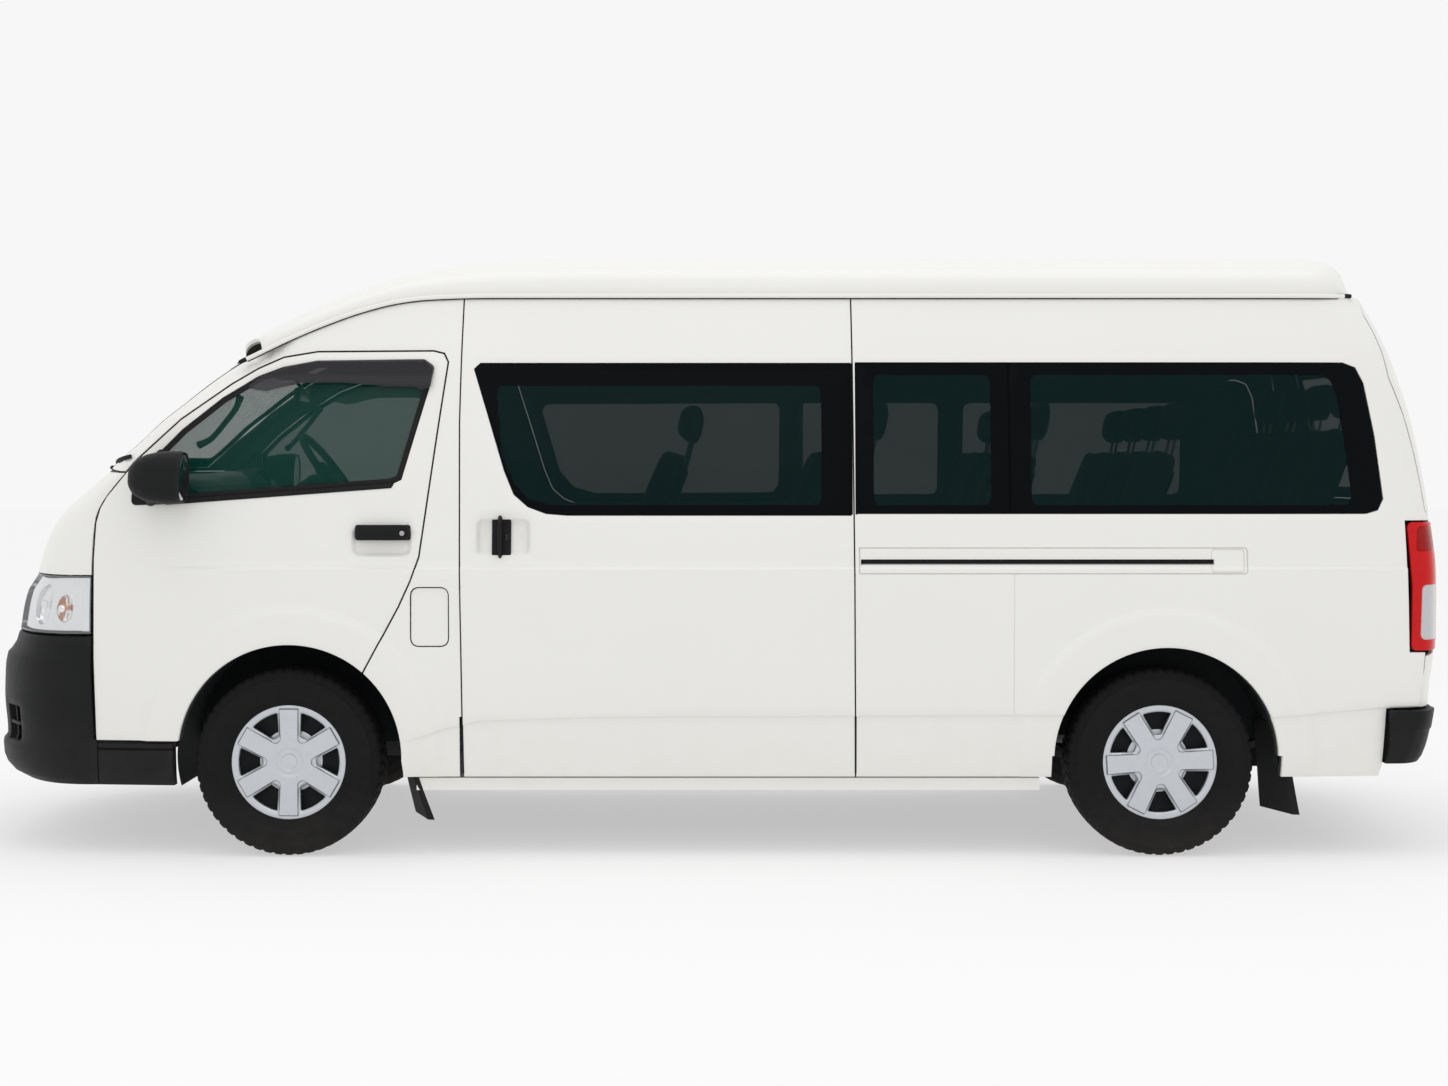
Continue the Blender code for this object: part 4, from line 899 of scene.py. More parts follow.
def gate_off(s, z):
    P = np.stack([s, z], 1)
    D = dist(P, [(pl_r, True)], near=.05)
    inn = within(P, np.array(pl_r))
    d = np.where(inn, -.014 * ramp(0, .016, D), 0)
    d = d - .004 * ramp(1.235, 1.215, z) + .0045 * ramp(1.165, 1.150, z) * ramp(.60, 1.0, z)
    d = d - .006 * ramp(.665, .650, z)
    return d


gfe = [(grow(pl_r, -k), True) for k in (.004, .008, .012, .016)]
for z in (1.235, 1.228, 1.221, 1.215, 1.165, 1.158, 1.150, .665, .660, .655, .650):
    gfe.append(([(-SY(.8, z) + .0, z), (SY(.8, z), z)], False))
put(shell("gate_skin", [gate], [grow(GATE_GLASS, PLAY)], tail, [PAINT, TRIM], gate_off, thick=.045, step=.03, feats=gfe), "back_gate", "body_paint", "tailgate")

# ---------------------------------------------------------------- roof and gutters
fe_v = np.concatenate([-np.linspace(0, 1, 22)[::-1], np.linspace(0, 1, 22)[1:]])
front_edge = [(min(float(nose(nose_s(v * .835, 1.785), 1.785, -.012)[0]) + .007, -1.60), v) for v in fe_v]


def roof_off(x, v):
    """Shallow pressed ribs along the roof, between the front dome and the tail."""
    inside_ = ramp(-.70, -.55, x) * ramp(2.18, 2.05, x)
    r = np.zeros_like(np.asarray(v, float))
    for c in (-.62, -.37, -.12, .12, .37, .62):
        r = r + ramp(.030, .016, np.abs(v - c))
    return -.004 * r * inside_


rfe = []
for c in (-.62, -.37, -.12, .12, .37, .62):
    for k in (-.030, -.0235, -.016, .016, .0235, .030):
        rfe.append(([(-.70, c + k), (2.18, c + k)], False))
for k in (.90, .94, .965, .98, .99, .996):
    rfe += [([(-1.55, k), (2.44, k)], False), ([(-1.55, -k), (2.44, -k)], False)]
put(shell("roof_skin", [front_edge + [(2.445, 1), (2.445, -1)]], [], roof, [PAINT, LINING], roof_off, thick=.030, step=.05, feats=rfe, rnd=.001,
          inner=lambda u, v: -.028 + 0 * u), "van_body", "body_paint", "roof")
gx = [x for x in np.concatenate([np.linspace(-1.655, -.95, 40), np.linspace(-.9, 2.20, 60), np.linspace(2.22, 2.372, 12)])]
for L, sg in (("left", -1), ("right", 1)):
    path = []
    for x in gx:
        z = float(zg_(x)) - .003
        xs = float(np.interp(x, [2.2, 2.45], [0, 1]))
        y = float(side_w(x, z)) - (.0 if x > -1.5 else .0)
        path.append((x - (xs * .10 if x > 2.2 else 0), sg * (y + .0035), z))
    prof = [(-.010, -.006), (.006, -.0085), (.0105, -.004), (.0105, .003), (.006, .0065), (-.012, .007)]
    if sg > 0:
        prof = [(-a, b) for a, b in prof]
    put(sweep("gutter_" + L, path, prof, PAINT), "van_body", "body_paint")
    # a dark strip under the gutter: painted shadow along the foot of the drip rail
    gutter_shadow_prof = [(-.008, -.0115), (.0042, -.0125), (.0042, -.0072), (-.008, -.0050)]
    if sg > 0:
        gutter_shadow_prof = [(-a, b) for a, b in gutter_shadow_prof]
    put(sweep("gutter_shadow_strip_" + L, path, gutter_shadow_prof, SEAL), "van_body", "black_plastic")
    # black plastic caps at the two ends of the gutter
    for tag, x, dx in (("front", -1.668, .028), ("rear", 2.345, .024)):
        p0, p1 = (path[0], path[1]) if tag == "front" else (path[-2], path[-1])
        d = (Vector(p1) - Vector(p0)).normalized()
        c = Vector(path[0] if tag == "front" else path[-1])
        cap = sweep("gutter_cap_%s_%s" % (tag, L), spline([c - d * .030, c - d * .020, c, c + d * .022, c + d * .028], 5), ring(1, 12, .0100, .0085), BLACK,
                    scale=[.35 + .65 * math.sin(PI * min(1, max(0, (k + 2) / 24))) ** .5 for k in range(21)])
        put(cap, "van_body", "black_plastic")

for nm, sf, x0, x1, mir_ in (("band_door", "van_body", .5085, .5168, False), ("band_quarter", "van_body", .5262, .5325, False), ("band_right", "van_body", .5075, .5325, True)):
    p = [(x0, 1.2195), (x1, 1.2195), (x1, 1.7600), (x0, 1.7600)]
    put(shell("glass_" + nm, [p], [], side, [FRIT], .0004, thick=.003, step=.05, rnd=.0006, lip=.001, mirror=mir_, inner=lambda u, v: -.0026 + 0 * u), sf, "tinted_glass")

# ---------------------------------------------------------------- front bumper with the step covers
FOG = [rounded([(sg * .415, .385), (sg * .570, .385), (sg * .570, .525), (sg * .415, .525)], .02, 5) for sg in (-1, 1)]
INTAKE = rounded([(-.33, .400), (.33, .400), (.30, .560), (-.30, .560)], .02, 5)


def bumper_off(s, z):
    P = np.stack([s, z], 1)
    d = .006 + .0 * s
    for p in FOG + [INTAKE]:
        a = within(P, np.array(p))
        D = dist(P, [(p, True)], near=.05)
        d = d - np.where(a, (.030 if p is INTAKE else .026) * ramp(0, .014, D), 0)
    d = d - .007 * ramp(.775, .785, z) - .005 * ramp(.700, .715, z) * ramp(1.0, .96, np.abs(s))
    d = d + .0015 * ramp(.385, .365, z) * ramp(.98, .94, np.abs(s)) - .0035 * ramp(.42, .2, np.abs(s)) * ramp(.30, .34, z) * ramp(.56, .42, z)
    d = d - .004 * ramp(.270, .255, z)
    lines = [([(k, .20), (k, .402)], False) for k in (-1.012, 1.012)] + [([(1.02, .381), (1.56, .381)], False), ([(-1.02, .381), (-1.56, .381)], False)]
    return d + groove(P, lines, .004, .005)


bfe = []
for p in FOG + [INTAKE]:
    for k in (.004, .008, .012, .015):
        bfe.append((grow(p, -k), True))
for k in (-1.012, 1.012):
    for w_ in (-.004, -.002, 0, .002, .004):
        bfe.append(([(k + w_, .245), (k + w_, .405)], False))
for z in (.377, .379, .381, .383, .385):
    bfe += [([(1.02, z), (1.56, z)], False), ([(-1.56, z), (-1.02, z)], False)]
for z in (.700, .705, .710, .715, .775, .780, .365, .372, .378):
    bfe.append(([(-.98, z), (.98, z)], False))
bump_o = [(-1.56, .250), (-1.56, .402), (-1.012, .402), (-.988, .42), (-.988, .785), (.988, .785), (.988, .42), (1.012, .402), (1.56, .402), (1.56, .250)]
put(shell("bumper_front_skin", [bump_o], [], nose, [BLACK, DARKP], bumper_off, thick=.045, step=.03, feats=bfe, rnd=.004), "van_body", "black_plastic", "front_bumper")


def nose_strip(name, s0, s1, z0, z1, off, thick, mat, body="van_body", slot="black_plastic", surf=nose, rnd=.0025, step=.03, r=0.0, nodes=()):
    p = [(s0, z0), (s1, z0), (s1, z1), (s0, z1)]
    if r:
        p = rounded(p, r, 4)
    return put(shell(name, [p], [], surf, [mat], off, thick=thick, step=step, rnd=rnd, lip=.002, inner=lambda u, v: off - thick + 0 * u), body, slot, *nodes)


for k, z in enumerate((.432, .472, .512)):
    nose_strip("intake_slat_%d" % k, -.318, .318, z - .006, z + .006, -.004, .016, BLACK)
for L, sg in (("left", -1), ("right", 1)):
    a, b = sorted((sg * .420, sg * .565))
    nose_strip("fog_rib_" + L, a, b, .450, .462, -.002, .018, BLACK)
    a, b = sorted((sg * .500, sg * .512))
    nose_strip("fog_post_" + L, a, b, .392, .518, -.006, .014, BLACK)
# bare plate on a holder
nose_strip("plate_holder_front", -.150, .150, .600, .728, .0085, .004, BLACK, r=.012)
nose_strip("plate_front", -.142, .142, .608, .720, .0110, .0022, PLATE, slot="wheel_silver", r=.008)

# ---------------------------------------------------------------- grille
gs = .515
g0, g1 = -abs(nose_s(gs, .88)), abs(nose_s(gs, .88))
nose_strip("grille_back", g0, g1, .802, .953, -.030, .008, DARKP, nodes=("grille",))
for k, z in enumerate((.818, .850, .882, .914, .942)):
    nose_strip("grille_bar_%d" % k, g0 + .004, g1 - .004, z - .0075, z + .0075, -.008 - .0015 * (k % 2), .018, SILVER if k in (1, 3) else BLACK, slot="black_plastic")
for k in range(-8, 9):
    nose_strip("grille_rib_%02d" % (k + 8), k * g1 / 9 - .0018, k * g1 / 9 + .0018, .806, .950, -.016, .014, BLACK, rnd=.0008)
# the badge place is bare: a smooth raised oval
ov = [(.080 / 1.0 * math.cos(a) * .70, .882 + .034 * math.sin(a)) for a in np.linspace(0, 2 * PI, 48, endpoint=False)]
put(shell("grille_blank_oval", [ov], [], nose, [BLACK], -.001, thick=.014, step=.01, rnd=.004, lip=.004, inner=lambda u, v: -.016 + 0 * u), "van_body", "black_plastic")

# ---------------------------------------------------------------- headlights
for L, sg in (("left", -1), ("right", 1)):
    zz = [.792, .826, .86, .895, .93, .965, 1.000]
    outl = [(sg * .985, z) for z in zz] + [(nose_s(sg * .522, z), z) for z in reversed(zz)]
    outl = rounded(outl, [.006] + [0] * 5 + [.012, .012] + [0] * 5 + [.012], 4)
    put(shell("headlight_lens_" + L, [outl], [], nose, [LENS], -.002, thick=.003, step=.02, rnd=.0015, lip=.001, inner=lambda u, v: -.005 + 0 * u),
        "van_body", "lamp_lens", "headlight_" + L)
    gasket("headlight_bezel_" + L, outl, nose, -.0055, .007, "van_body", out=-.001, mat=GLOSS, d=.040, step=.02)
    # amber marker and bulb, then the reflector with its two bowls
    bowls = [(sg * .640, .892, .072, .040), (sg * .815, .880, .050, .026)]

    def refl(s, z, bowls=bowls, sg=sg):
        d = -.022 + 0 * s
        for bs, bz, br, bd in bowls:
            r = np.hypot((s - bs) * .95, z - bz)
            d = d - bd * np.sqrt(np.maximum(0, 1 - (r / br) ** 2))
            d = d + .003 * ramp(br + .010, br + .001, r) * ramp(br - .004, br + .001, r)
        step_ = ramp(-.004, .004, np.abs(s) - .925)
        d = d + .010 * step_ - .0018 * (.5 + .5 * np.cos((s * 1.0) * 2 * PI / .022)) * ramp(.70, .74, np.abs(s))
        return d
    rf = [(circle((bs, bz), br + k, 48), True) for bs, bz, br, bd in bowls for k in (-.030, -.018, -.008, -.002, .001, .005, .010)]
    rf += [([(sg * (.925 + k), .80), (sg * (.925 + k), .995)], False) for k in (-.004, 0, .004)]
    put(shell("headlight_reflector_" + L, [grow(outl, -.008)], [], nose, [CHROME], refl, thick=.004, step=.009, feats=rf, rnd=0, lip=.002,
              inner=lambda u, v: -.075 + 0 * u), "van_body", "lamp_lens")
    for tag, bs, bz, dp, rr, m in (("main", .640, .892, -.052, .013, LENS), ("amber", .815, .882, -.030, .0115, AMBER)):
        c = nose(sg * bs, bz, dp)
        n = nose(sg * bs, bz, dp + .01) - c
        put(lathe("headlight_bulb_%s_%s" % (tag, L), [(.001, .026), (rr * .6, .0235), (rr * .92, .017), (rr, .008), (rr, 0), (rr * .8, -.006), (rr * .8, -.016), (.001, -.016)], c, n, m, 28),
            "van_body", "lamp_lens")
        put(lathe("headlight_cap_%s_%s" % (tag, L), [(.001, .0375), (rr * .8, .036), (rr * 1.15, .0325), (rr * 1.2, .0275), (.001, .0275)], c, n, CHROME, 28), "van_body", "lamp_lens")

# ---------------------------------------------------------------- tail lights
for L, mir in (("left", False), ("right", True)):
    q0, q1 = xrl(.96) - .006, gate_q(.96, .786)
    tl = [(xrl(.735) - .006, .733), (gate_q(.735, .786), .733), (gate_q(.96, .786), .96), (gate_q(1.19, .786), 1.192), (xrl(1.19) - .006, 1.192), (xrl(.96) - .006, .96)]
    tl = rounded(tl, [.022, .010, 0, .010, .024, 0], 6)
    clear = rounded([(q0 + .030, .772), (q1 - .010, .772), (q1 - .010, .968), (q0 + .036, .968)], [.022, .006, .006, .022], 6)
    deep = rounded([(q0 + .016, 1.090), (q1 - .010, 1.090), (q1 - .010, 1.176), (q0 + .020, 1.176)], [.01, .01, .01, .02], 6)

    def tl_off(u, v, clear=clear, deep=deep):
        P = np.stack([u, v], 1)
        d = .004 + groove(P, [(clear, True), (deep, True)], .0022, .0018)
        band = within(P, np.array(clear)) | within(P, np.array(deep))
        return d - .0012 * np.where(band, .5 + .5 * np.cos(v * 2 * PI / .0105), 0)

    def tl_pick(u, v, clear=clear, deep=deep):
        P = np.stack([u, v], 1)
        return np.where(within(P, np.array(clear)), 1, np.where(within(P, np.array(deep)), 2, 0))
    tfe = [(grow(p, k), True) for p in (clear, deep) for k in (-.0022, -.001, 0, .001, .0022)]
    tfe += [([(q0 + .02, z), (q1 - .008, z)], False) for z in np.arange(.776, .966, .00525)] + [([(q0 + .016, z), (q1 - .008, z)], False) for z in np.arange(1.094, 1.174, .00525)]
    put(shell("tail_lamp_" + L, [tl], [], side, [REDL, CLEARL, REDD, BLACK], tl_off, thick=.050, step=.012, feats=tfe, rnd=.004, lip=.010, mirror=mir, pick=tl_pick),
        "van_body", "red_lens", "tail_light_" + L)

# ---------------------------------------------------------------- rear bumper
rb = [(-1.064, .330), (-1.104, .42), (-1.142, .520), (1.142, .520), (1.104, .42), (1.064, .330)]


def rb_off(s, z):
    step_pad = ramp(.50, .46, np.abs(s))
    return .0195 - .010 * ramp(.495, .515, z) * step_pad - .004 * ramp(.350, .336, z) - .004 * ramp(.452, .444, z) * ramp(.90, .80, np.abs(s))


rfe2 = [([(-1.1, z), (1.1, z)], False) for z in (.336, .343, .350, .444, .448, .452, .495, .502, .509, .515)]
put(shell("bumper_rear_skin", [rb], [], tail, [BLACK, DARKP], rb_off, thick=.060, step=.03, feats=rfe2, rnd=.005), "van_body", "black_plastic", "rear_bumper")
for L, sg in (("left", -1), ("right", 1)):
    a, b = sorted((sg * .30, sg * .46))
    p = rounded([(a, .372), (b, .372), (b, .408), (a, .408)], .012, 5)
    put(shell("rear_reflector_" + L, [p], [], tail, [REDL], .0170, thick=.010, step=.012, rnd=.003, lip=.004, inner=lambda u, v: .0070 + 0 * u), "van_body", "red_lens")

# ---------------------------------------------------------------- tailgate fittings
def tail_strip(name, s0, s1, z0, z1, off, thick, mat, slot="black_plastic", r=.0, rnd=.0025, body="back_gate"):
    return nose_strip(name, s0, s1, z0, z1, off, thick, mat, body, slot, surf=tail, r=r, rnd=rnd)


yy = lambda y, z=.95: math.copysign(SY(abs(y), z), y)
tail_strip("gate_garnish", yy(-.34), yy(.34), 1.028, 1.085, .0045, .0075, PAINT, "body_paint", r=.02, rnd=.005)
tail_strip("gate_handle", yy(-.115), yy(.115), 1.016, 1.032, .004, .010, BLACK, r=.006)
tail_strip("gate_plate", yy(-.262, .9), yy(.262, .9), .830, .985, -.0085, .0022, PLATE, "wheel_silver", r=.010, rnd=.0008)
for k, y in enumerate((-.15, .15)):
    tail_strip("plate_lamp_%d" % k, yy(y - .028), yy(y + .028), 1.004, 1.013, .004, .010, LENS, "lamp_lens", r=.003, rnd=.001)
tail_strip("stop_lamp_high", yy(-.14, 1.84), yy(.14, 1.84), 1.832, 1.856, .006, .010, REDD, "red_lens", r=.006)
c = tail(yy(.0, 1.235), 1.238, .0)
wp = np.array([tail(yy(y, z), z, o_) for y, z, o_ in ((.0, 1.238, .016), (-.06, 1.262, .022), (-.16, 1.292, .020), (-.30, 1.325, .016))])
put(lathe("gate_wiper_pivot", [(.001, .018), (.012, .017), (.020, .012), (.023, .0), (.001, .0)], c, (1, 0, 0), BLACK, 28), "back_gate", "black_plastic")
put(sweep("gate_wiper_arm", spline(wp, 8), ring(.0055, 10, 1.3, .8), BLACK), "back_gate", "black_plastic")
wb = np.array([tail(yy(y, z), z, .0085) for y, z in ((-.50, 1.300), (-.40, 1.312), (-.30, 1.321), (-.20, 1.327), (-.10, 1.330))])
put(sweep("gate_wiper_blade", spline(wb, 6), [(-.0035, -.006), (.0035, -.006), (.0045, .004), (.002, .008), (-.002, .008), (-.0045, .004)], SEAL), "back_gate", "black_plastic")
for L, sg in (("left", -1), ("right", 1)):
    c = tail(yy(sg * .50, 1.955), 1.955, .0)
    put(block("gate_hinge_" + L, (c[0] - .008, sg * .50 - .035, 1.937), (c[0] + .012, sg * .50 + .035, 1.973), PAINT, .006), "back_gate", "body_paint")

# ---------------------------------------------------------------- cowl and wipers
nose_strip("cowl_panel", -.93, .93, 1.3705, 1.3845, -.008, .020, BLACK, rnd=.002)
for k, (s0, s1, z0, z1) in enumerate(((.46, -.18, 1.374, 1.402), (-.20, -.80, 1.374, 1.404))):
    a = nose(s0, z0, .003)
    mid = [nose(s0 + (s1 - s0) * t, z0 + (z1 - z0) * t ** 1.2, .003 + .004 * math.sin(PI * min(1, t * 1.2)) ** .5) for t in (.1, .3, .5, .65)]
    put(sweep("wiper_arm_%d" % k, spline([a] + mid, 8), ring(.0045, 10, 1.2, .7), BLACK), "van_body", "black_plastic")
    bl = [nose(s0 + (s1 - s0) * t - .02, z0 + .014 + (z1 - z0 + .006) * t, .0050) for t in np.linspace(.15, 1.05, 9)]
    put(sweep("wiper_blade_%d" % k, spline(bl, 5), [(-.0035, -.006), (.0035, -.006), (.0045, .004), (.002, .009), (-.002, .009), (-.0045, .004)], SEAL), "van_body", "black_plastic")
    put(lathe("wiper_pivot_%d" % k, [(.001, .016), (.010, .015), (.016, .010), (.018, -.006), (.001, -.006)], a - np.array([0, 0, .0]), (-.8, 0, .6), BLACK, 24), "van_body", "black_plastic")

# ---------------------------------------------------------------- door handles, rail, mirrors, visor
for L, sg in (("left", -1), ("right", 1)):
    yb = float(side_w(-1.15, 1.15))
    bar = []
    for t in np.linspace(0, 1, 26):
        x = -1.254 + .196 * t
        e = min(t, 1 - t)
        out = .012 + .014 * math.sin(PI * t) ** .35
        h = .0275 * min(1, (e / .06)) ** .5 if e < .06 else .0275
        bar.append([(x, sg * (yb + out * (.72 + .28 * math.cos(a)) * 1.0 - .004 * (math.cos(a) < 0)), 1.156 + h * math.sin(a)) for a in np.linspace(0, 2 * PI, 20, endpoint=False)])
    V = [p for r in bar for p in r]
    F = [(i * 20 + j, i * 20 + (j + 1) % 20, (i + 1) * 20 + (j + 1) % 20, (i + 1) * 20 + j) for i in range(25) for j in range(20)] + [tuple(range(20)), tuple(range(500, 520))]
    put(mesh("door_handle_" + L, V, F, BLACK), "cab_door_" + L, "black_plastic")
    put(block("door_handle_base_" + L, (-1.256, min(sg * (yb - .020), sg * (yb + .004)), 1.128), (-1.056, max(sg * (yb - .020), sg * (yb + .004)), 1.184), BLACK, .010), "cab_door_" + L, "black_plastic")
    put(lathe("door_lock_" + L, [(.001, .004), (.0055, .0042), (.0085, .003), (.0095, 0), (.001, 0)], (-1.084, sg * (yb + .0255), 1.154), (0, sg, 0), BARE, 24), "cab_door_" + L, "black_plastic")
    # mirror
    prof = [(-2.030, .12), (-2.026, .34), (-2.014, .56), (-1.995, .73), (-1.965, .88), (-1.925, .975), (-1.885, 1.0), (-1.855, .995), (-1.842, .975), (-1.836, .94)]
    px_, pk_ = zip(*prof)
    xs_ = np.concatenate([np.linspace(-2.030, -1.99, 10), np.linspace(-1.98, -1.836, 18)])
    V, F, n_ = [], [], 40
    for x in xs_:
        k = float(np.interp(x, px_, pk_))
        for a in np.linspace(0, 2 * PI, n_, endpoint=False):
            cy, sy = math.cos(a), math.sin(a)
            cy, sy = math.copysign(abs(cy) ** .78, cy), math.copysign(abs(sy) ** .78, sy)
            V.append((x + .004 * sy * k, sg * (1.0445 + .0845 * k * cy), 1.352 + .0935 * k * sy))
    m_ = len(xs_)
    # the open back of the shell: a rim, then the recessed face
    for kx, kk in ((-1.8352, .90), (-1.842, .885), (-1.843, .01)):
        for a in np.linspace(0, 2 * PI, n_, endpoint=False):
            cy, sy = math.cos(a), math.sin(a)
            cy, sy = math.copysign(abs(cy) ** .78, cy), math.copysign(abs(sy) ** .78, sy)
            V.append((kx + .004 * sy * kk, sg * (1.0445 + .0845 * kk * cy), 1.352 + .0935 * kk * sy))
    m_ += 3
    F = [(i * n_ + j, i * n_ + (j + 1) % n_, (i + 1) * n_ + (j + 1) % n_, (i + 1) * n_ + j) for i in range(m_ - 1) for j in range(n_)] + [tuple(range(n_)), tuple(range((m_ - 1) * n_, m_ * n_))]
    head = mesh("mirror_head_" + L, V, F, BLACK)
    put(head, "cab_door_" + L, "black_plastic", "mirror_" + L)
    V, F = [], []
    for kx, kk in ((-1.8425, .87), (-1.8395, .87), (-1.8385, .855)):
        for a in np.linspace(0, 2 * PI, n_, endpoint=False):
            cy, sy = math.cos(a), math.sin(a)
            cy, sy = math.copysign(abs(cy) ** .78, cy), math.copysign(abs(sy) ** .78, sy)
            V.append((kx + .004 * sy * kk, sg * (1.0445 + .0845 * kk * cy), 1.352 + .0935 * kk * sy))
    F = [(i * n_ + j, i * n_ + (j + 1) % n_, (i + 1) * n_ + (j + 1) % n_, (i + 1) * n_ + j) for i in range(2) for j in range(n_)] + [tuple(range(n_)), tuple(range(2 * n_, 3 * n_))]
    put(mesh("mirror_face_" + L, V, F, MIRG), "cab_door_" + L, "lamp_lens")
    w0 = float(side_w(-1.985, 1.28))
    put(sweep("mirror_arm_" + L, spline([(-1.990, sg * (w0 + .001), 1.281), (-1.985, sg * (w0 + .020), 1.284), (-1.972, sg * (w0 + .055), 1.290), (-1.955, sg * 1.03, 1.305), (-1.945, sg * 1.04, 1.325)], 6),
              ring(1, 16, .020, .026), BLACK, scale=[1.25 - .35 * min(1, k / 12) for k in range(25)]), "cab_door_" + L, "black_plastic")
    sail = rounded([(-2.062, 1.252), (-1.930, 1.256), (-1.925, 1.300), (-1.935, 1.452), (-1.965, 1.452), (-2.058, 1.335)], [.020, .006, .01, .006, .02, .03], 5)
    put(shell("mirror_sail_" + L, [sail], [], side, [BLACK], .0045, thick=.006, step=.015, rnd=.003, lip=.002, mirror=sg > 0, inner=lambda u, v: .0004 + 0 * u), "cab_door_" + L, "black_plastic")
    vis = rounded([(-1.655, 1.672), (-1.60, 1.712), (-1.50, 1.752), (-1.40, 1.771), (-1.016, 1.776), (-.978, 1.750), (-.992, 1.674), (-1.028, 1.664), (-1.044, 1.676), (-1.12, 1.676), (-1.30, 1.690), (-1.46, 1.688), (-1.58, 1.660)],
                  [.01, 0, 0, .03, .02, .02, .008, .008, .008, .03, .05, .05, .02], 5)
    put(shell("rain_visor_" + L, [vis], [], side, [VISOR], lambda u, v: .004 + .012 * ramp(1.775, 1.70, v), thick=.0025, step=.02, rnd=.0012, lip=.001, mirror=sg > 0,
              inner=lambda u, v: .0015 + .012 * ramp(1.775, 1.70, v)), "cab_door_" + L, "tinted_glass")
    belt = rounded([(-1.935, 1.2535), (-1.128, 1.3135), (-1.116, 1.332), (-1.935, 1.2715)], .004, 3)
    put(shell("door_belt_moulding_" + L, [belt], [], side, [SEAL], .0035, thick=.012, step=.03, rnd=.003, lip=.002, mirror=sg > 0, inner=lambda u, v: -.0095 + 0 * u), "cab_door_" + L, "black_plastic")

yh = float(side_w(-.73, 1.14))
put(shell("slide_handle_base", [rounded([(-.768, 1.064), (-.700, 1.064), (-.700, 1.214), (-.768, 1.214)], .010, 5)], [], side, [BLACK], -.004, thick=.010, step=.015, rnd=.003, lip=.003,
          inner=lambda u, v: -.0155 + 0 * u), "van_body", "black_plastic")
hp = spline([(-.738, -(yh - .004), 1.074), (-.738, -(yh + .010), 1.088), (-.738, -(yh + .016), 1.14), (-.738, -(yh + .010), 1.192), (-.738, -(yh - .004), 1.206)], 8)
put(sweep("slide_handle", hp, ring(1, 16, .0135, .008), BLACK, up=(1, 0, 0)), "van_body", "black_plastic")
put(shell("slide_handle_shut", [rounded([(-.722, 1.126), (-.708, 1.126), (-.708, 1.150), (-.722, 1.150)], .003, 4)], [], side, [GLOSS], -.001, thick=.004, step=.008, rnd=.001, lip=.001, inner=lambda u, v: -.006 + 0 * u), "van_body", "black_plastic")
yr = float(side_w(1.2, 1.05))
put(block("slide_rail_back", (.546, -(yr - .012), 1.036), (1.806, -(yr - .016), 1.066), SEAL, .001), "van_body", "black_plastic")
put(block("slide_rail_lip", (.548, -(yr - .004), 1.0418), (1.799, -(yr - .012), 1.0445), BARE, .0006), "van_body", "black_plastic")

# ---------------------------------------------------------------- arches and mud flaps
for L, sg in (("left", -1), ("right", 1)):
    for tag, c, r, a0, a1, y0, y1 in (("front", ARCH_F, .4045, -.02 * PI, 1.085 * PI, .525, .880), ("rear", ARCH_B, .4045, -.02 * PI, 1.02 * PI, .645, .876)):
        V, F, n_ = [], [], 72
        for i in range(n_ + 1):
            a = a0 + (a1 - a0) * i / n_
            rib = .0012 * math.cos(i * PI)
            for rr, y in ((r, y1), (r + .004, y1), (r + .005 + rib, (y0 + y1) / 2), (r + .005, y0), (r + .001, y0), (r + .001 + rib, (y0 + y1) / 2)):
                V.append((c[0] + rr * math.cos(a), sg * y, c[1] + rr * math.sin(a)))
        F = [(i * 6 + j, i * 6 + (j + 1) % 6, (i + 1) * 6 + (j + 1) % 6, (i + 1) * 6 + j) for i in range(n_) for j in range(6)] + [tuple(range(6)), tuple(range(n_ * 6, n_ * 6 + 6))]
        put(mesh("arch_liner_%s_%s" % (tag, L), V, F, DARKP), "van_body", "black_plastic")
    for tag, top, bot, y0, y1 in (("front", (-1.094, .395), (-1.040, .128), .705, .892), ("rear", (2.030, .470), (2.052, .146), .690, .892)):
        V, F, n_ = [], [], 14
        for i in range(n_ + 1):
            t = i / n_
            x = top[0] - .012 + (bot[0] - top[0]) * t ** 1.25
            z = top[1] + (bot[1] - top[1]) * t
            for dx, yk in ((.022 + .030 * t, y1), (-.018, y0), (-.013, y0), (.027 + .030 * t, y1), (.040 + .036 * t, y1 + .002), (.037 + .036 * t, y1 + .005)):
                V.append((x + dx, sg * (yk + .004 * math.sin(t * 5)), z))
        F = [(i * 6 + j, i * 6 + (j + 1) % 6, (i + 1) * 6 + (j + 1) % 6, (i + 1) * 6 + j) for i in range(n_) for j in range(6)] + [tuple(range(6)), tuple(range(n_ * 6, n_ * 6 + 6))]
        put(mesh("mud_flap_%s_%s" % (tag, L), V, F, SEAL), "van_body", "black_plastic")

# ---------------------------------------------------------------- wheels
CR = .2075
HWS, HWW = .155 * CR, .185 * CR


def on_arm(r, hw, k, s):
    """A point at radius r on the edge of spoke k, on side s, hw off its middle line."""
    a = PI2 + k * PI / 3
    d = math.sqrt(max(0, r * r - hw * hw))
    return (d * math.cos(a) - s * hw * math.sin(a), d * math.sin(a) + s * hw * math.cos(a))


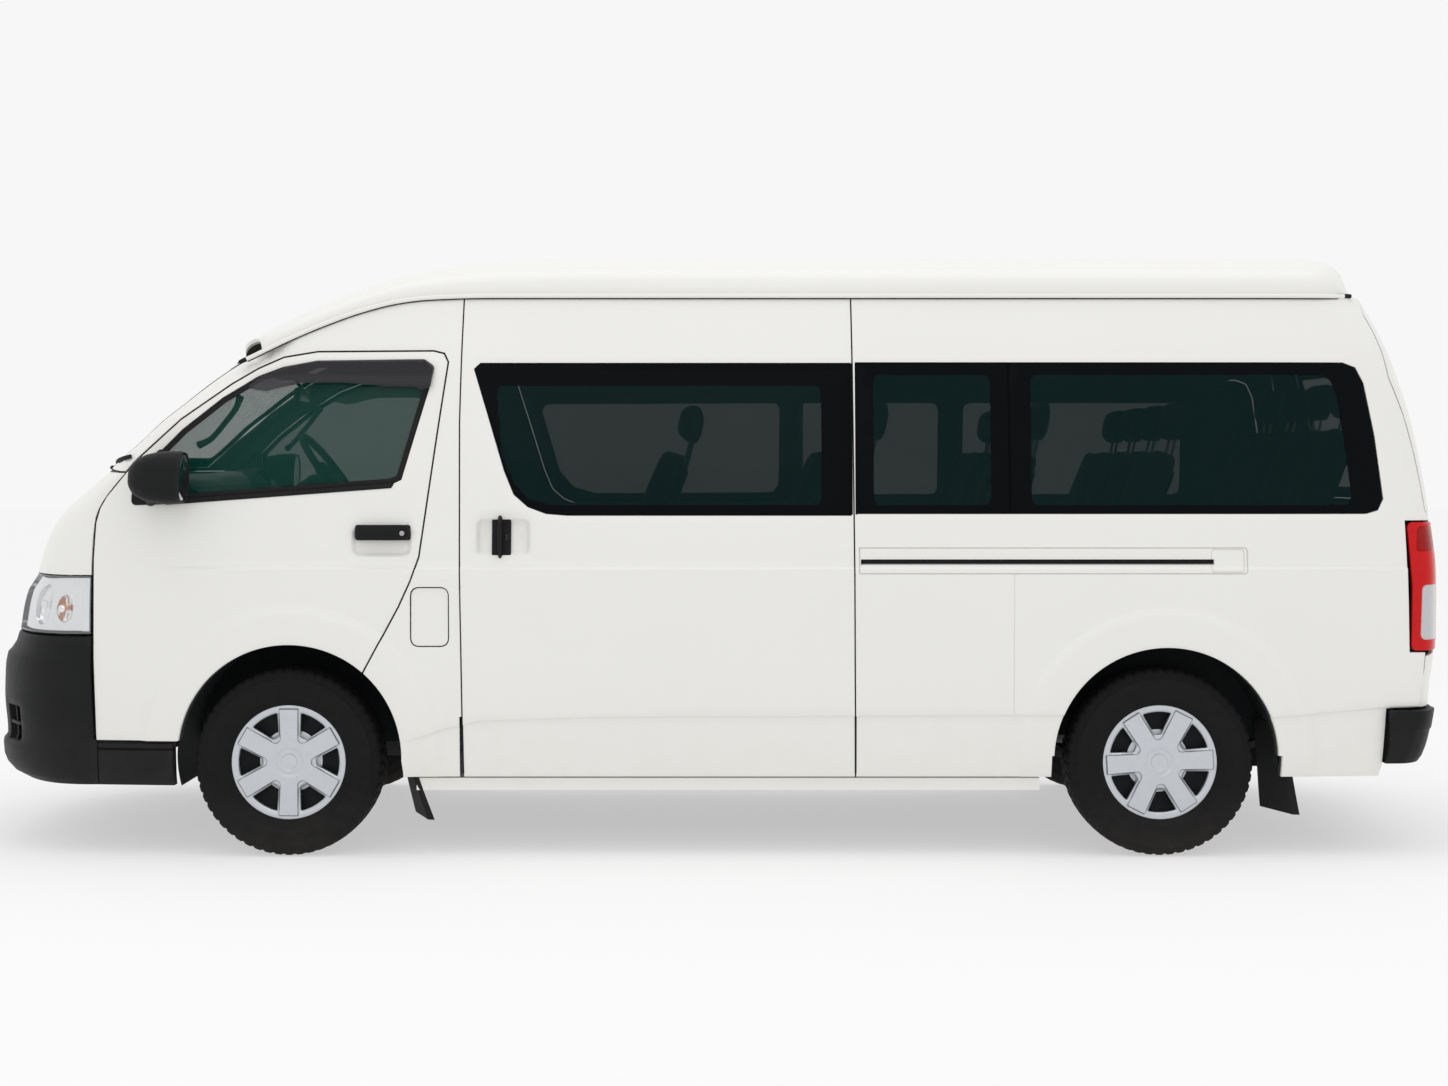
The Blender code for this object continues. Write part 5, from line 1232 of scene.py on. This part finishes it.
star, wins = [], []
for k in range(6):
    star += [on_arm(.40 * CR, HWS * 1.05, k, -1), on_arm(.945 * CR, HWS * 1.14, k, -1), on_arm(.945 * CR, HWS * 1.14, k, 1), on_arm(.40 * CR, HWS * 1.05, k, 1)]
    w_ = [on_arm(.865 * CR, HWW * 1.10, k, 1)]
    a0 = math.atan2(w_[0][1], w_[0][0])
    e = on_arm(.865 * CR, HWW * 1.10, k + 1, -1)
    a1 = math.atan2(e[1], e[0])
    while a1 < a0:
        a1 += 2 * PI
    arc_ = [(.865 * CR * math.cos(a0 + (a1 - a0) * t / 8), .865 * CR * math.sin(a0 + (a1 - a0) * t / 8)) for t in range(9)]
    pts_ = [on_arm(.47 * CR, HWW * 1.0, k, 1)] + arc_ + [on_arm(.47 * CR, HWW * 1.0, k + 1, -1)]
    wins.append(rounded(pts_, [.010, .010] + [0] * 7 + [.010, .010], 5))
star = rounded(star, [.012, .006, .006, .012] * 6, 4)
cap_r = pchip([(0, .0640), (.018, .0638), (.027, .0632), (.030, .0655), (.041, .0660), (.0445, .0632), (.050, .0625), (.075, .0640), (.12, .0680), (.165, .0720), (.185, .0745), (.195, .0760), (.2015, .0765), (.206, .0745), (.2085, .072)])
star_np = np.array(star)


def cover_off(u, v):
    P = np.stack([u, v], 1)
    r = np.hypot(u, v)
    a = within(P, star_np)
    D = dist(P, [(star, True)], near=.012)
    lift = np.where(a, .0065 * ramp(0, .0045, D), 0) * ramp(.040, .052, r)
    win = dist(P, [(w_, True) for w_ in wins], near=.012)
    return cap_r(r) + lift - .004 * ramp(.006, .0005, win) * np.where(a, 0, 1)


cfe = [(circle((0, 0), r, 96), True) for r in (.018, .027, .0285, .030, .041, .0428, .0445, .050, .195, .2015)]
cfe += [(star, True), (grow(star, -.0015), True), (grow(star, -.003), True), (grow(star, -.0045), True)]
for w_ in wins:
    cfe.append((grow(w_, .003), True))
    cfe.append((grow(w_, .006), True))
tread_r = pchip([(-.0975, .262), (-.094, .292), (-.084, .3180), (-.074, .3285), (-.060, .3335), (0, .3350), (.060, .3335), (.074, .3285), (.084, .3180), (.094, .292), (.0975, .262)])
side_pts = [(.300, .0962), (.2965, .0978), (.293, .0968), (.280, .0977), (.262, .0978), (.2585, .0990), (.255, .0978), (.240, .0962), (.232, .0945), (.229, .0955), (.226, .0932), (.215, .088), (.207, .0815), (.2035, .076), (.198, .070)]


def tyre(name, c, sg):
    """A tyre with tread blocks, grooves and sidewall rings, on the wheel's axis; out is the outboard side."""
    K = 216
    ys = np.concatenate([np.linspace(.0905, .066, 7), np.linspace(.061, .034, 6), [.0325, .0295, .0255, .0225], np.linspace(.018, .0065, 4), [.0045, .0015, -.0015, -.0045]])
    ys = np.concatenate([ys, -np.concatenate([np.linspace(.0065, .018, 4), [.0225, .0255, .0295, .0325], np.linspace(.034, .061, 6), np.linspace(.066, .0905, 7)])])
    prof = [(r, y) for r, y in side_pts[::-1]] + [(float(tread_r(y)), y) for y in ys] + [(r, -y) for r, y in side_pts]
    n_in, n_t = len(side_pts), len(ys)
    R = np.array([p[0] for p in prof])
    Y = np.array([p[1] for p in prof])
    th = np.arange(K) / K * 2 * PI
    RR = np.repeat(R[None], K, 0)
    a = np.abs(Y)
    tread = np.zeros(len(prof), bool)
    tread[n_in:n_in + n_t] = True
    g = ((a > .0235) & (a < .0315)) | (a < .0030)
    RR[:, tread & g] -= .0065
    cell = (np.arange(K) % 4)
    sh = (tread & (a > .0340))
    lat = cell == 0
    RR[np.ix_(lat, sh)] -= .0055
    lat2 = cell == 2
    RR[np.ix_(lat2, tread & (a > .0040) & (a < .0225))] -= .0040
    X = c[0] + RR * np.cos(th)[:, None]
    Z = c[2] + RR * np.sin(th)[:, None]
    YY = np.repeat((c[1] + sg * Y)[None], K, 0)
    V = np.stack([X, YY, Z], -1).reshape(-1, 3)
    k = len(prof)
    F = [(i * k + j, i * k + (j + 1) % k, ((i + 1) % K) * k + (j + 1) % k, ((i + 1) % K) * k + j) for i in range(K) for j in range(k)]
    return mesh(name, V, F, RUBBER, deg=40)


for n_, x, sg, body in (("front_left", AXLE_F, -1, "front_wheel_left"), ("front_right", AXLE_F, 1, "front_wheel_right"), ("rear_left", AXLE_R, -1, "rear_wheel_left"), ("rear_right", AXLE_R, 1, "rear_wheel_right")):
    rot = 0.0 if n_.startswith("front") else math.radians(-27)
    ca, sa = math.cos(rot), math.sin(rot)
    yc = TRACK

    def face(u, v, off, x=x, ca=ca, sa=sa):
        u, v, off = np.broadcast_arrays(np.asarray(u, float), np.asarray(v, float), np.asarray(off, float))
        return np.stack([x + u * ca - v * sa, -(yc + off), TYRE_R + u * sa + v * ca], -1)
    put(tyre("tyre_tread_" + n_, (x, sg * yc, TYRE_R), sg), body, "tyre_rubber", "tyre_" + n_)
    cover = shell("wheel_cover_" + n_, [circle((0, 0), CR, 120)], wins, face, [SILVER], cover_off, thick=.02, step=.012, feats=cfe, rnd=.0015, lip=.014, mirror=sg > 0,
                  inner=lambda u, v: .044 + .01 * ramp(.05, .2, np.hypot(u, v)))
    put(cover, body, "wheel_silver", "wheel_" + n_)
    # steel wheel behind the cover: dish with a silver cone inside, dark outside
    put(lathe("wheel_dish_" + n_, [(.002, .036), (.060, .036), (.074, .044), (.086, .046), (.104, .026), (.112, .024), (.112, .010), (.002, .010)], (x, sg * yc, TYRE_R), (0, sg, 0), SILVER, 72), body, "wheel_silver")
    put(lathe("wheel_well_" + n_, [(.105, .022), (.150, .018), (.190, .030), (.1955, .055), (.1965, .068), (.1995, .070), (.1995, -.080), (.190, -.080), (.185, .0), (.150, -.006), (.105, -.002)], (x, sg * yc, TYRE_R), (0, sg, 0), DARKP, 72),
        body, "wheel_silver")
    for k in range(6):
        a = rot + k * PI / 3 + PI / 6
        p = Vector((x + .070 * math.cos(a), sg * (yc + .040), TYRE_R + .070 * math.sin(a)))
        put(lathe("wheel_nut_%s_%d" % (n_, k), [(.001, .012), (.006, .011), (.0085, .004), (.0085, -.004), (.001, -.004)], p, (0, sg, 0), BARE, 6, deg=25), body, "wheel_silver")

for L, mir in (("left", False), ("right", True)):
    st = [(-2.184, .388), (-1.898, .388), (-1.898, .4075), (-2.184, .4075)]
    put(shell("step_trim_" + L, [st], [], side, [BLACK], -.004, thick=.030, step=.02, rnd=.002, lip=.004, mirror=mir, inner=lambda u, v: -.040 + 0 * u), "van_body", "black_plastic")

# ================================================================ cabin
def pad(name, size, at, rot=0.0, crown=.012, pinch=.010, lines=(), mat=CLOTH, n=(14, 14, 6), power=.34, panel=None, body="van_body", nodes=(), belly=0.0):
    """A sewn cushion: a crowned closed form, sides pulled in between the corners, with sewn channels across its face.
    size is depth (x), width (y), height (z); lines are (axis, place) of channels on the top face, place from -1 to 1."""
    nx, ny, nz = n
    V, at_ = [], {}

    def vid(i, j, k):
        if (i, j, k) not in at_:
            at_[(i, j, k)] = len(V)
            V.append((2 * i / nx - 1, 2 * j / ny - 1, 2 * k / nz - 1))
        return at_[(i, j, k)]
    F = []
    for i in range(nx):
        for j in range(ny):
            F.append((vid(i, j, 0), vid(i, j + 1, 0), vid(i + 1, j + 1, 0), vid(i + 1, j, 0)))
            F.append((vid(i, j, nz), vid(i + 1, j, nz), vid(i + 1, j + 1, nz), vid(i, j + 1, nz)))
    for i in range(nx):
        for k in range(nz):
            F.append((vid(i, 0, k), vid(i + 1, 0, k), vid(i + 1, 0, k + 1), vid(i, 0, k + 1)))
            F.append((vid(i, ny, k), vid(i, ny, k + 1), vid(i + 1, ny, k + 1), vid(i + 1, ny, k)))
    for j in range(ny):
        for k in range(nz):
            F.append((vid(0, j, k), vid(0, j, k + 1), vid(0, j + 1, k + 1), vid(0, j + 1, k)))
            F.append((vid(nx, j, k), vid(nx, j + 1, k), vid(nx, j + 1, k + 1), vid(nx, j, k + 1)))
    P = np.array(V, float)
    P = np.sign(P) * np.abs(P) ** .85
    h = np.array(size) / 2
    r = power * float(min(h)) * 1.6
    Q = P * h
    core = np.clip(Q, -(h - r), h - r)
    d = Q - core
    L = np.linalg.norm(d, axis=1)
    m = L > 1e-9
    far = np.max(np.abs(d), axis=1)
    Q[m] = core[m] + d[m] / L[m][:, None] * np.minimum(far[m], r)[:, None]
    u, v, w = P[:, 0], P[:, 1], P[:, 2]
    top = ramp(-.2, 1, w)
    Q[:, 2] += crown * top * (1 - u ** 2) * (1 - v ** 2) ** .7 - .3 * crown * top
    Q[:, 1] -= np.sign(v) * pinch * (1 - u ** 2) * np.abs(v) ** 4 * (1 - .3 * w)
    Q[:, 0] -= np.sign(u) * pinch * (1 - v ** 2) * np.abs(u) ** 4
    if belly:
        Q[:, 2] += belly * u
    for ax, p in lines:
        c = u if ax == "x" else v
        Q[:, 2] -= .0065 * np.exp(-((c - p) / .075) ** 2) * ramp(.6, 1, w)
    c_, s_ = math.cos(rot), math.sin(rot)
    X = Q[:, 0] * c_ + Q[:, 2] * s_
    Z = -Q[:, 0] * s_ + Q[:, 2] * c_
    Q = np.stack([X + at[0], Q[:, 1] + at[1], Z + at[2]], 1)
    idx = None
    mats = [mat]
    if panel:
        mats = [mat, panel]
        cen = P[np.array(F)].mean(1)
        idx = ((cen[:, 2] > .9) & (np.abs(cen[:, 1]) < .62)).astype(int)
    o = mesh(name, Q, F, mats, idx, deg=60, clean=False)
    sub = o.modifiers.new("s", "SUBSURF")
    sub.levels = sub.render_levels = 1
    dg = bpy.context.evaluated_depsgraph_get()
    me = bpy.data.meshes.new_from_object(o.evaluated_get(dg))
    o.modifiers.clear()
    o.data = me
    sharp(me, 60)
    put(o, body, "seat_cloth", *nodes)
    return o


def seat(tag, x, y, z, wd, lean, h, cl, node, big=False):
    """One seat: cushion, back, head restraint on two posts, in the place the CAD seat holds."""
    n = (12, 12, 6)
    pad("cushion_" + tag, (cl + .05, wd - .006, .145), (x - cl / 2 + .020, y, z + .072), rot=.045, crown=.018, pinch=.007, lines=[("y", -.62), ("y", .62), ("x", .28)], n=n, panel=CLOTH2, nodes=(node,))
    ax, az = x + .022, z + .085
    bx, bz = x + .022 + lean, z + h
    L = math.hypot(bx - ax, bz - az)
    ang = math.atan2(bx - ax, bz - az)
    # the back is a cushion stood on end: its face looks forward
    rot = -(PI / 2 - ang)
    pad("back_" + tag, (L + .01, wd - .018, .100 if not big else .115), ((ax + bx) / 2, y, (az + bz) / 2), rot=rot, crown=.014, pinch=.010,
        lines=[("y", -.60), ("y", .60), ("x", -.30)], n=(16, 12, 6), panel=CLOTH2, nodes=(node,))
    xh = x + lean * 1.06 + .058
    pad("headrest_" + tag, (.150, .215, .078), (xh + .010, y, z + h + .118), rot=-(PI / 2 - .20), crown=.010, pinch=.006, n=(10, 10, 6), power=.7, nodes=(node,))
    posts = []
    for k, sg in enumerate((-1, 1)):
        posts.append(sweep("t", [(xh - .012, y + sg * .055, z + h - .03), (xh + .0, y + sg * .055, z + h + .015), (xh + .010, y + sg * .055, z + h + .06)], ring(.0055, 10), BARE))
    shell_ = block("t", (-.022, -(wd / 2 - .03), -L * .36), (.010, wd / 2 - .03, L * .40), DARKP, .010)
    shell_.matrix_world = Matrix.Translation(((ax + bx) / 2 + .048, y, (az + bz) / 2 - .012)) @ Matrix.Rotation(ang, 4, "Y")
    bpy.context.view_layer.update()
    put(merged("seat_frame_" + tag, posts + [shell_]), "van_body", "interior_plastic")


for k, y in enumerate((-.50, -.01, .50)):
    seat("cab_%d" % k, -1.20, y, .87, (.50, .42, .50)[k], .20, (.62, .60, .62)[k], .44, "front_seats", True)
put(block("cab_seat_base", (-1.61, -.69, .848), (-1.09, .69, .884), DARKP, .010), "van_body", "interior_plastic", "front_seats")
rows = [(-.352, .82, [(-.20, 0), (.21, 0), (.62, 0)]), (.25, .82, [(-.60, .09), (-.20, .09), (.21, 0), (.62, 0)]),
        (.905, .82, [(-.60, .03), (-.20, .03), (.21, 0), (.62, 0)]), (1.44, .82, [(-.60, 0), (-.20, 0), (.21, 0), (.62, 0)]),
        (2.085, .90, [(-.595, 0), (-.20, 0), (.20, 0), (.595, 0)])]
for k, (x, z, ys) in enumerate(rows):
    for j, (y, dx) in enumerate(ys):
        seat("row%d_%d" % (k + 1, j), x + dx, y, z, .38, .20, .62, .40, "seat_row_%d" % (k + 1))
    lo_, hi_ = max(ys[0][0] - .12, -.60), min(ys[-1][0] + .12, .60)
    fr = [block("t", (x - .37, lo_, z - .028), (x - .33, hi_, z + .002), STEEL, .008), block("t", (x - .07, lo_, z - .028), (x - .03, hi_, z + .002), STEEL, .008)]
    for yy_ in (-.57, .13, .39):
        if lo_ < yy_ < hi_:
            fr.append(sweep("t", spline([(x - .335, yy_, .60), (x - .325, yy_, z - .05), (x - .26, yy_, z - .02), (x - .10, yy_, z - .02), (x - .065, yy_, z - .05), (x - .055, yy_, .60)], 6), ring(.013, 12), STEEL, up=(0, 1, 0)))
            fr.append(block("t", (x - .35, yy_ - .025, .5803), (x - .04, yy_ + .025, .602), STEEL, .006))
    put(merged("row_frame_%d" % (k + 1), fr), "van_body", "underbody", "seat_row_%d" % (k + 1))

# ---------------------------------------------------------------- dashboard
ysd = np.linspace(-.775, .775, 47)
V, n_ = [], 0
for y in ysd:
    hump = .020 * ramp(.24, .12, abs(y - .42)) + .010 * ramp(.22, .16, abs(y))
    fr = [(max(float(nose(nose_s(y, z), z, -.090)[0]), -2.232), z) for z in (1.03, 1.12, 1.20, 1.28, 1.352)]
    bk = [(-2.06, 1.353 + hump * .4), (-1.985, 1.350 + hump), (-1.925, 1.346 + hump * 1.0), (-1.892, 1.335 + hump * .8), (-1.865, 1.308), (-1.842, 1.296), (-1.812, 1.270), (-1.800, 1.235),
          (-1.803, 1.16), (-1.812, 1.08), (-1.835, 1.035), (-1.90, .995), (-1.97, .972), (-2.10, .985)]
    pr = fr + [p for p in bk if p[0] > fr[-1][0] + .01]
    pr = spline([(a, 0, b) for a, b in pr], 3, closed=True)
    t = np.linspace(0, len(pr), 64, endpoint=False)
    pr = np.array([pr[int(i)] for i in t])
    V += [(a, y, b) for a, _, b in pr]
k = 64
F = [(i * k + j, i * k + (j + 1) % k, (i + 1) * k + (j + 1) % k, (i + 1) * k + j) for i in range(len(ysd) - 1) for j in range(k)] + [tuple(range(k)), tuple(range((len(ysd) - 1) * k, len(ysd) * k))]
cz = np.array(V)[np.array(F[:-2])].mean(1)
idx = [1 if (c[2] > 1.30 and c[0] < -1.87) else 0 for c in cz] + [0, 0]
put(mesh("dash_board", V, F, [DASH, DASHL], idx, deg=50), "van_body", "interior_plastic", "dashboard")
det = []
for y, w_ in ((-.66, .07), (-.10, .06), (.06, .06), (.70, .06)):
    det.append(block("t", (-1.822, y - w_, 1.232), (-1.790, y + w_, 1.285), DARKP, .006))
    for q in range(4):
        det.append(block("t", (-1.794, y - w_ + .008, 1.238 + q * .012), (-1.786, y + w_ - .008, 1.242 + q * .012), DASH, .001))
det.append(block("t", (-1.822, -.12, 1.115), (-1.786, .12, 1.205), DARKP, .008))
for q, y in enumerate((-.075, 0, .075)):
    det.append(lathe("t", [(.001, .018), (.014, .017), (.018, .012), (.019, 0), (.001, 0)], (-1.790, y, 1.090), (1, 0, -.1), DARKP, 24))
det.append(block("t", (-1.822, -.66, 1.075), (-1.794, -.22, 1.190), DASH, .012))
det.append(block("t", (-1.800, -.48, 1.168), (-1.788, -.40, 1.180), DARKP, .004))
put(merged("dash_fittings", det), "van_body", "interior_plastic")
hood_ = []
for t in np.linspace(0, 1, 15):
    a = PI * t
    hood_.append([(-1.925 + dx, .42 - .165 * math.cos(a), 1.298 + (.078 + dz) * math.sin(a) ** .6) for dx, dz in ((-.03, 0), (.065, .008), (.068, .0), (-.03, -.008))])
V = [p for r in hood_ for p in r]
F = [(i * 4 + j, i * 4 + (j + 1) % 4, (i + 1) * 4 + (j + 1) % 4, (i + 1) * 4 + j) for i in range(14) for j in range(4)] + [(0, 1, 2, 3), (56, 57, 58, 59)]
ins = [mesh("t", V, F, DARKP, deg=50), block("t", (-1.925, .275, 1.300), (-1.900, .565, 1.362), DIAL, .004)]
for y, r in ((.345, .030), (.42, .036), (.495, .030)):
    ins.append(lathe("t", [(r - .004, .006), (r, .007), (r + .003, .004), (r + .003, 0), (r - .004, 0)], (-1.899, y, 1.330), (1, 0, .15), BARE, 32))
    ins.append(sweep("t", [(-1.894, y, 1.330), (-1.893, y - r * .5, 1.330 + r * .55)], ring(.0012, 6), AMBER))
put(merged("instrument_pod", ins), "van_body", "interior_plastic")

# ---------------------------------------------------------------- steering wheel
ws, tilt = Vector((-1.575, .42, 1.36)), Vector((.80, 0, .60)).normalized()
e1, e2 = Vector((0, 1, 0)), Vector((-.60, 0, .80))
pth = [ws + (e1 * math.cos(a) + e2 * math.sin(a)) * .189 for a in np.linspace(0, 2 * PI, 96, endpoint=False)]
rim = sweep("t", pth, ring(.0142, 16, 1, 1.08), DARKP, up=tuple(tilt), closed=True)
parts = [rim, lathe("t", [(.001, .030), (.040, .027), (.062, .018), (.070, .004), (.066, -.020), (.040, -.030), (.001, -.030)], ws - tilt * .018, tilt, DASH, 40)]
for a in (math.radians(188), math.radians(352), math.radians(-62), math.radians(-118)):
    d = e1 * math.cos(a) + e2 * math.sin(a)
    parts.append(sweep("t", spline([ws - tilt * .022 + d * .05, ws - tilt * .020 + d * .10, ws - tilt * .006 + d * .15, ws + d * .183], 5), ring(1, 12, .019, .007), DASH, up=tuple(tilt), scale=list(np.linspace(1.1, .7, 16))))
put(merged("steering_ring", parts, 45), "steering", "interior_plastic", "steering_wheel")
col = [lathe("t", [(.001, 0), (.036, 0), (.046, -.02), (.050, -.12), (.055, -.25), (.001, -.25)], ws - tilt * .052, tilt, DARKP, 32)]
for sg in (-1, 1):
    col.append(sweep("t", spline([ws - tilt * .085 + e1 * sg * .03, ws - tilt * .080 + e1 * sg * .09 + e2 * .01, ws - tilt * .070 + e1 * sg * .145 + e2 * .02], 6), ring(.006, 10), DARKP, up=tuple(tilt)))
put(merged("steering_column_cover", col), "van_body", "interior_plastic")
gs_ = sweep("t", spline([(-1.80, .16, 1.02), (-1.76, .165, 1.07), (-1.735, .165, 1.13), (-1.722, .165, 1.19)], 6), ring(.009, 12), BARE)
gk = lathe("t", [(.001, .030), (.012, .028), (.020, .016), (.020, .0), (.012, -.016), (.001, -.018)], (-1.720, .165, 1.205), (.1, 0, 1), DARKP, 24)
put(merged("gear_lever", [gs_, gk]), "van_body", "interior_plastic")

# ---------------------------------------------------------------- pillar handles, mirror, blinds, linings
for L, sg in (("left", -1), ("right", 1)):
    y0 = float(side_w(-1.78, 1.55)) - .064
    g = spline([(-1.835, sg * y0, 1.468), (-1.800, sg * (y0 - .040), 1.492), (-1.755, sg * (y0 - .046), 1.545), (-1.712, sg * (y0 - .040), 1.600), (-1.690, sg * (y0 - .012), 1.640)], 8)
    put(sweep("pillar_grip_" + L, g, ring(.0115, 14), DASH, up=(0, 1, 0), scale=[.9 + .35 * abs(2 * i / 32 - 1) ** 3 for i in range(33)]), "van_body", "interior_plastic")
    # lining of the screen pillar
    pts_ = [nose(-.982, z, -.050) * [1, -sg, 1] for z in (1.36, 1.42, 1.50, 1.58, 1.66, 1.73, 1.775)]
    put(sweep("pillar_lining_" + L, spline(pts_, 6), ring(1, 16, .030, .022), DASH, up=(0, 1, 0)), "van_body", "interior_plastic")
    # the long panels above and below the side windows
    for tag, x0, x1, z0, z1 in (("belt", -.86, 2.30, 1.150, 1.232), ("cant", -.90, 2.24, 1.742, 1.84)):
        p = rounded([(x0, z0), (x1, z0), (x1, z1), (x0, z1)], .02)
        if not (sg < 0 and tag == "belt"):
            put(shell("lining_%s_%s" % (tag, L), [p], [], side, [TRIM], -.052, thick=.012, step=.06, rnd=.004, mirror=sg > 0, inner=lambda u, v: -.068 + 0 * u), "van_body", "interior_plastic")
mm = spline([(-1.655, 0, 1.760), (-1.640, 0, 1.730), (-1.622, 0, 1.700)], 6)
parts = [sweep("t", mm, ring(.007, 10), DARKP, up=(0, 1, 0)), block("t", (-1.632, -.105, 1.640), (-1.606, .105, 1.700), DARKP, .012)]
parts.append(block("t", (-1.6065, -.098, 1.647), (-1.6045, .098, 1.693), MIRG, .0008))
put(merged("cabin_mirror", parts), "van_body", "interior_plastic")
for k, y in enumerate((-.38, .38)):
    put(block("sun_blind_%d" % k, (-1.60, y - .24, 1.775), (-1.46, y + .24, 1.792), LINING, .007, rot=Matrix.Rotation(-.45, 4, "Y")), "van_body", "interior_plastic")
# grab rail along the aisle
for k, y in enumerate((-.10,)):
    put(sweep("aisle_rail", spline([(-.55, y - .28, 1.985), (-.50, y - .28, 1.955), (.4, y - .28, 1.950), (1.3, y - .28, 1.950), (2.0, y - .28, 1.955), (2.05, y - .28, 1.985)], 8), ring(.011, 12), DASH, up=(0, 1, 0)), "van_body", "interior_plastic")

# ---------------------------------------------------------------- finishes of the CAD pieces that stay
for n_, m in (("floor", CARPET), ("wheelhouse_left", DARKP), ("wheelhouse_right", DARKP), ("sill_left", PAINT), ("sill_right", PAINT), ("firewall", DARKP),
              ("chassis_frame", STEEL), ("engine", STEEL), ("prop_shaft", STEEL), ("rear_axle", STEEL), ("front_suspension", STEEL), ("fuel_tank", STEEL), ("exhaust", BARE),
              ("knuckle_left", STEEL), ("knuckle_right", STEEL), ("spare_wheel", RUBBER)):
    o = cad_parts[n_]
    o.data.materials.clear()
    o.data.materials.append(m)

# ================================================================ floor, light and camera
fl = bpy.data.meshes.new("studio_floor")
bm = bmesh.new()
bmesh.ops.create_grid(bm, x_segments=1, y_segments=1, size=60)
bm.to_mesh(fl)
bm.free()
floor_o = bpy.data.objects.new("studio_floor", fl)
bpy.context.scene.collection.objects.link(floor_o)
FLOOR_M = material("pale_floor", (.45, .45, .45), .9, var=.004, scale=.4, spec=.0, rvar=.02, emit=((1, 1, 1), .50))
fl.materials.append(FLOOR_M)
floor_o.location = (0, 0, -.0005)

world = bpy.data.worlds.new("studio")
world.use_nodes = True
bg = world.node_tree.nodes["Background"]
bg.inputs["Color"].default_value = (1, 1, 1, 1)
bg.inputs["Strength"].default_value = .93
bpy.context.scene.world = world


def area_light(name, loc, aim, size, power):
    li = bpy.data.lights.new(name, "AREA")
    li.shape = "RECTANGLE"
    li.size, li.size_y = size
    li.energy = power
    o = bpy.data.objects.new(name, li)
    o.location = loc
    o.rotation_euler = (Vector(aim) - Vector(loc)).to_track_quat("-Z", "Y").to_euler()
    bpy.context.scene.collection.objects.link(o)
    return o


area_light("light_top", (0, -1.5, 7.0), (0, 0, 1), (9, 5), 90)
area_light("light_side", (-2.5, -9.0, 5.0), (0, 0, 1), (7, 4), 25)

cam = bpy.data.cameras.new("camera")
cam.lens, cam.sensor_width, cam.sensor_fit = 55.84, 36, "HORIZONTAL"
cam.shift_y = -.0546
cam.clip_start, cam.clip_end = .1, 200
cam_o = bpy.data.objects.new("camera", cam)
cam_o.location = (.058, -8.92, 1.40)
cam_o.rotation_euler = (PI / 2, 0, 0)
bpy.context.scene.collection.objects.link(cam_o)
bpy.context.scene.camera = cam_o
bpy.context.scene.view_settings.view_transform = "Standard"
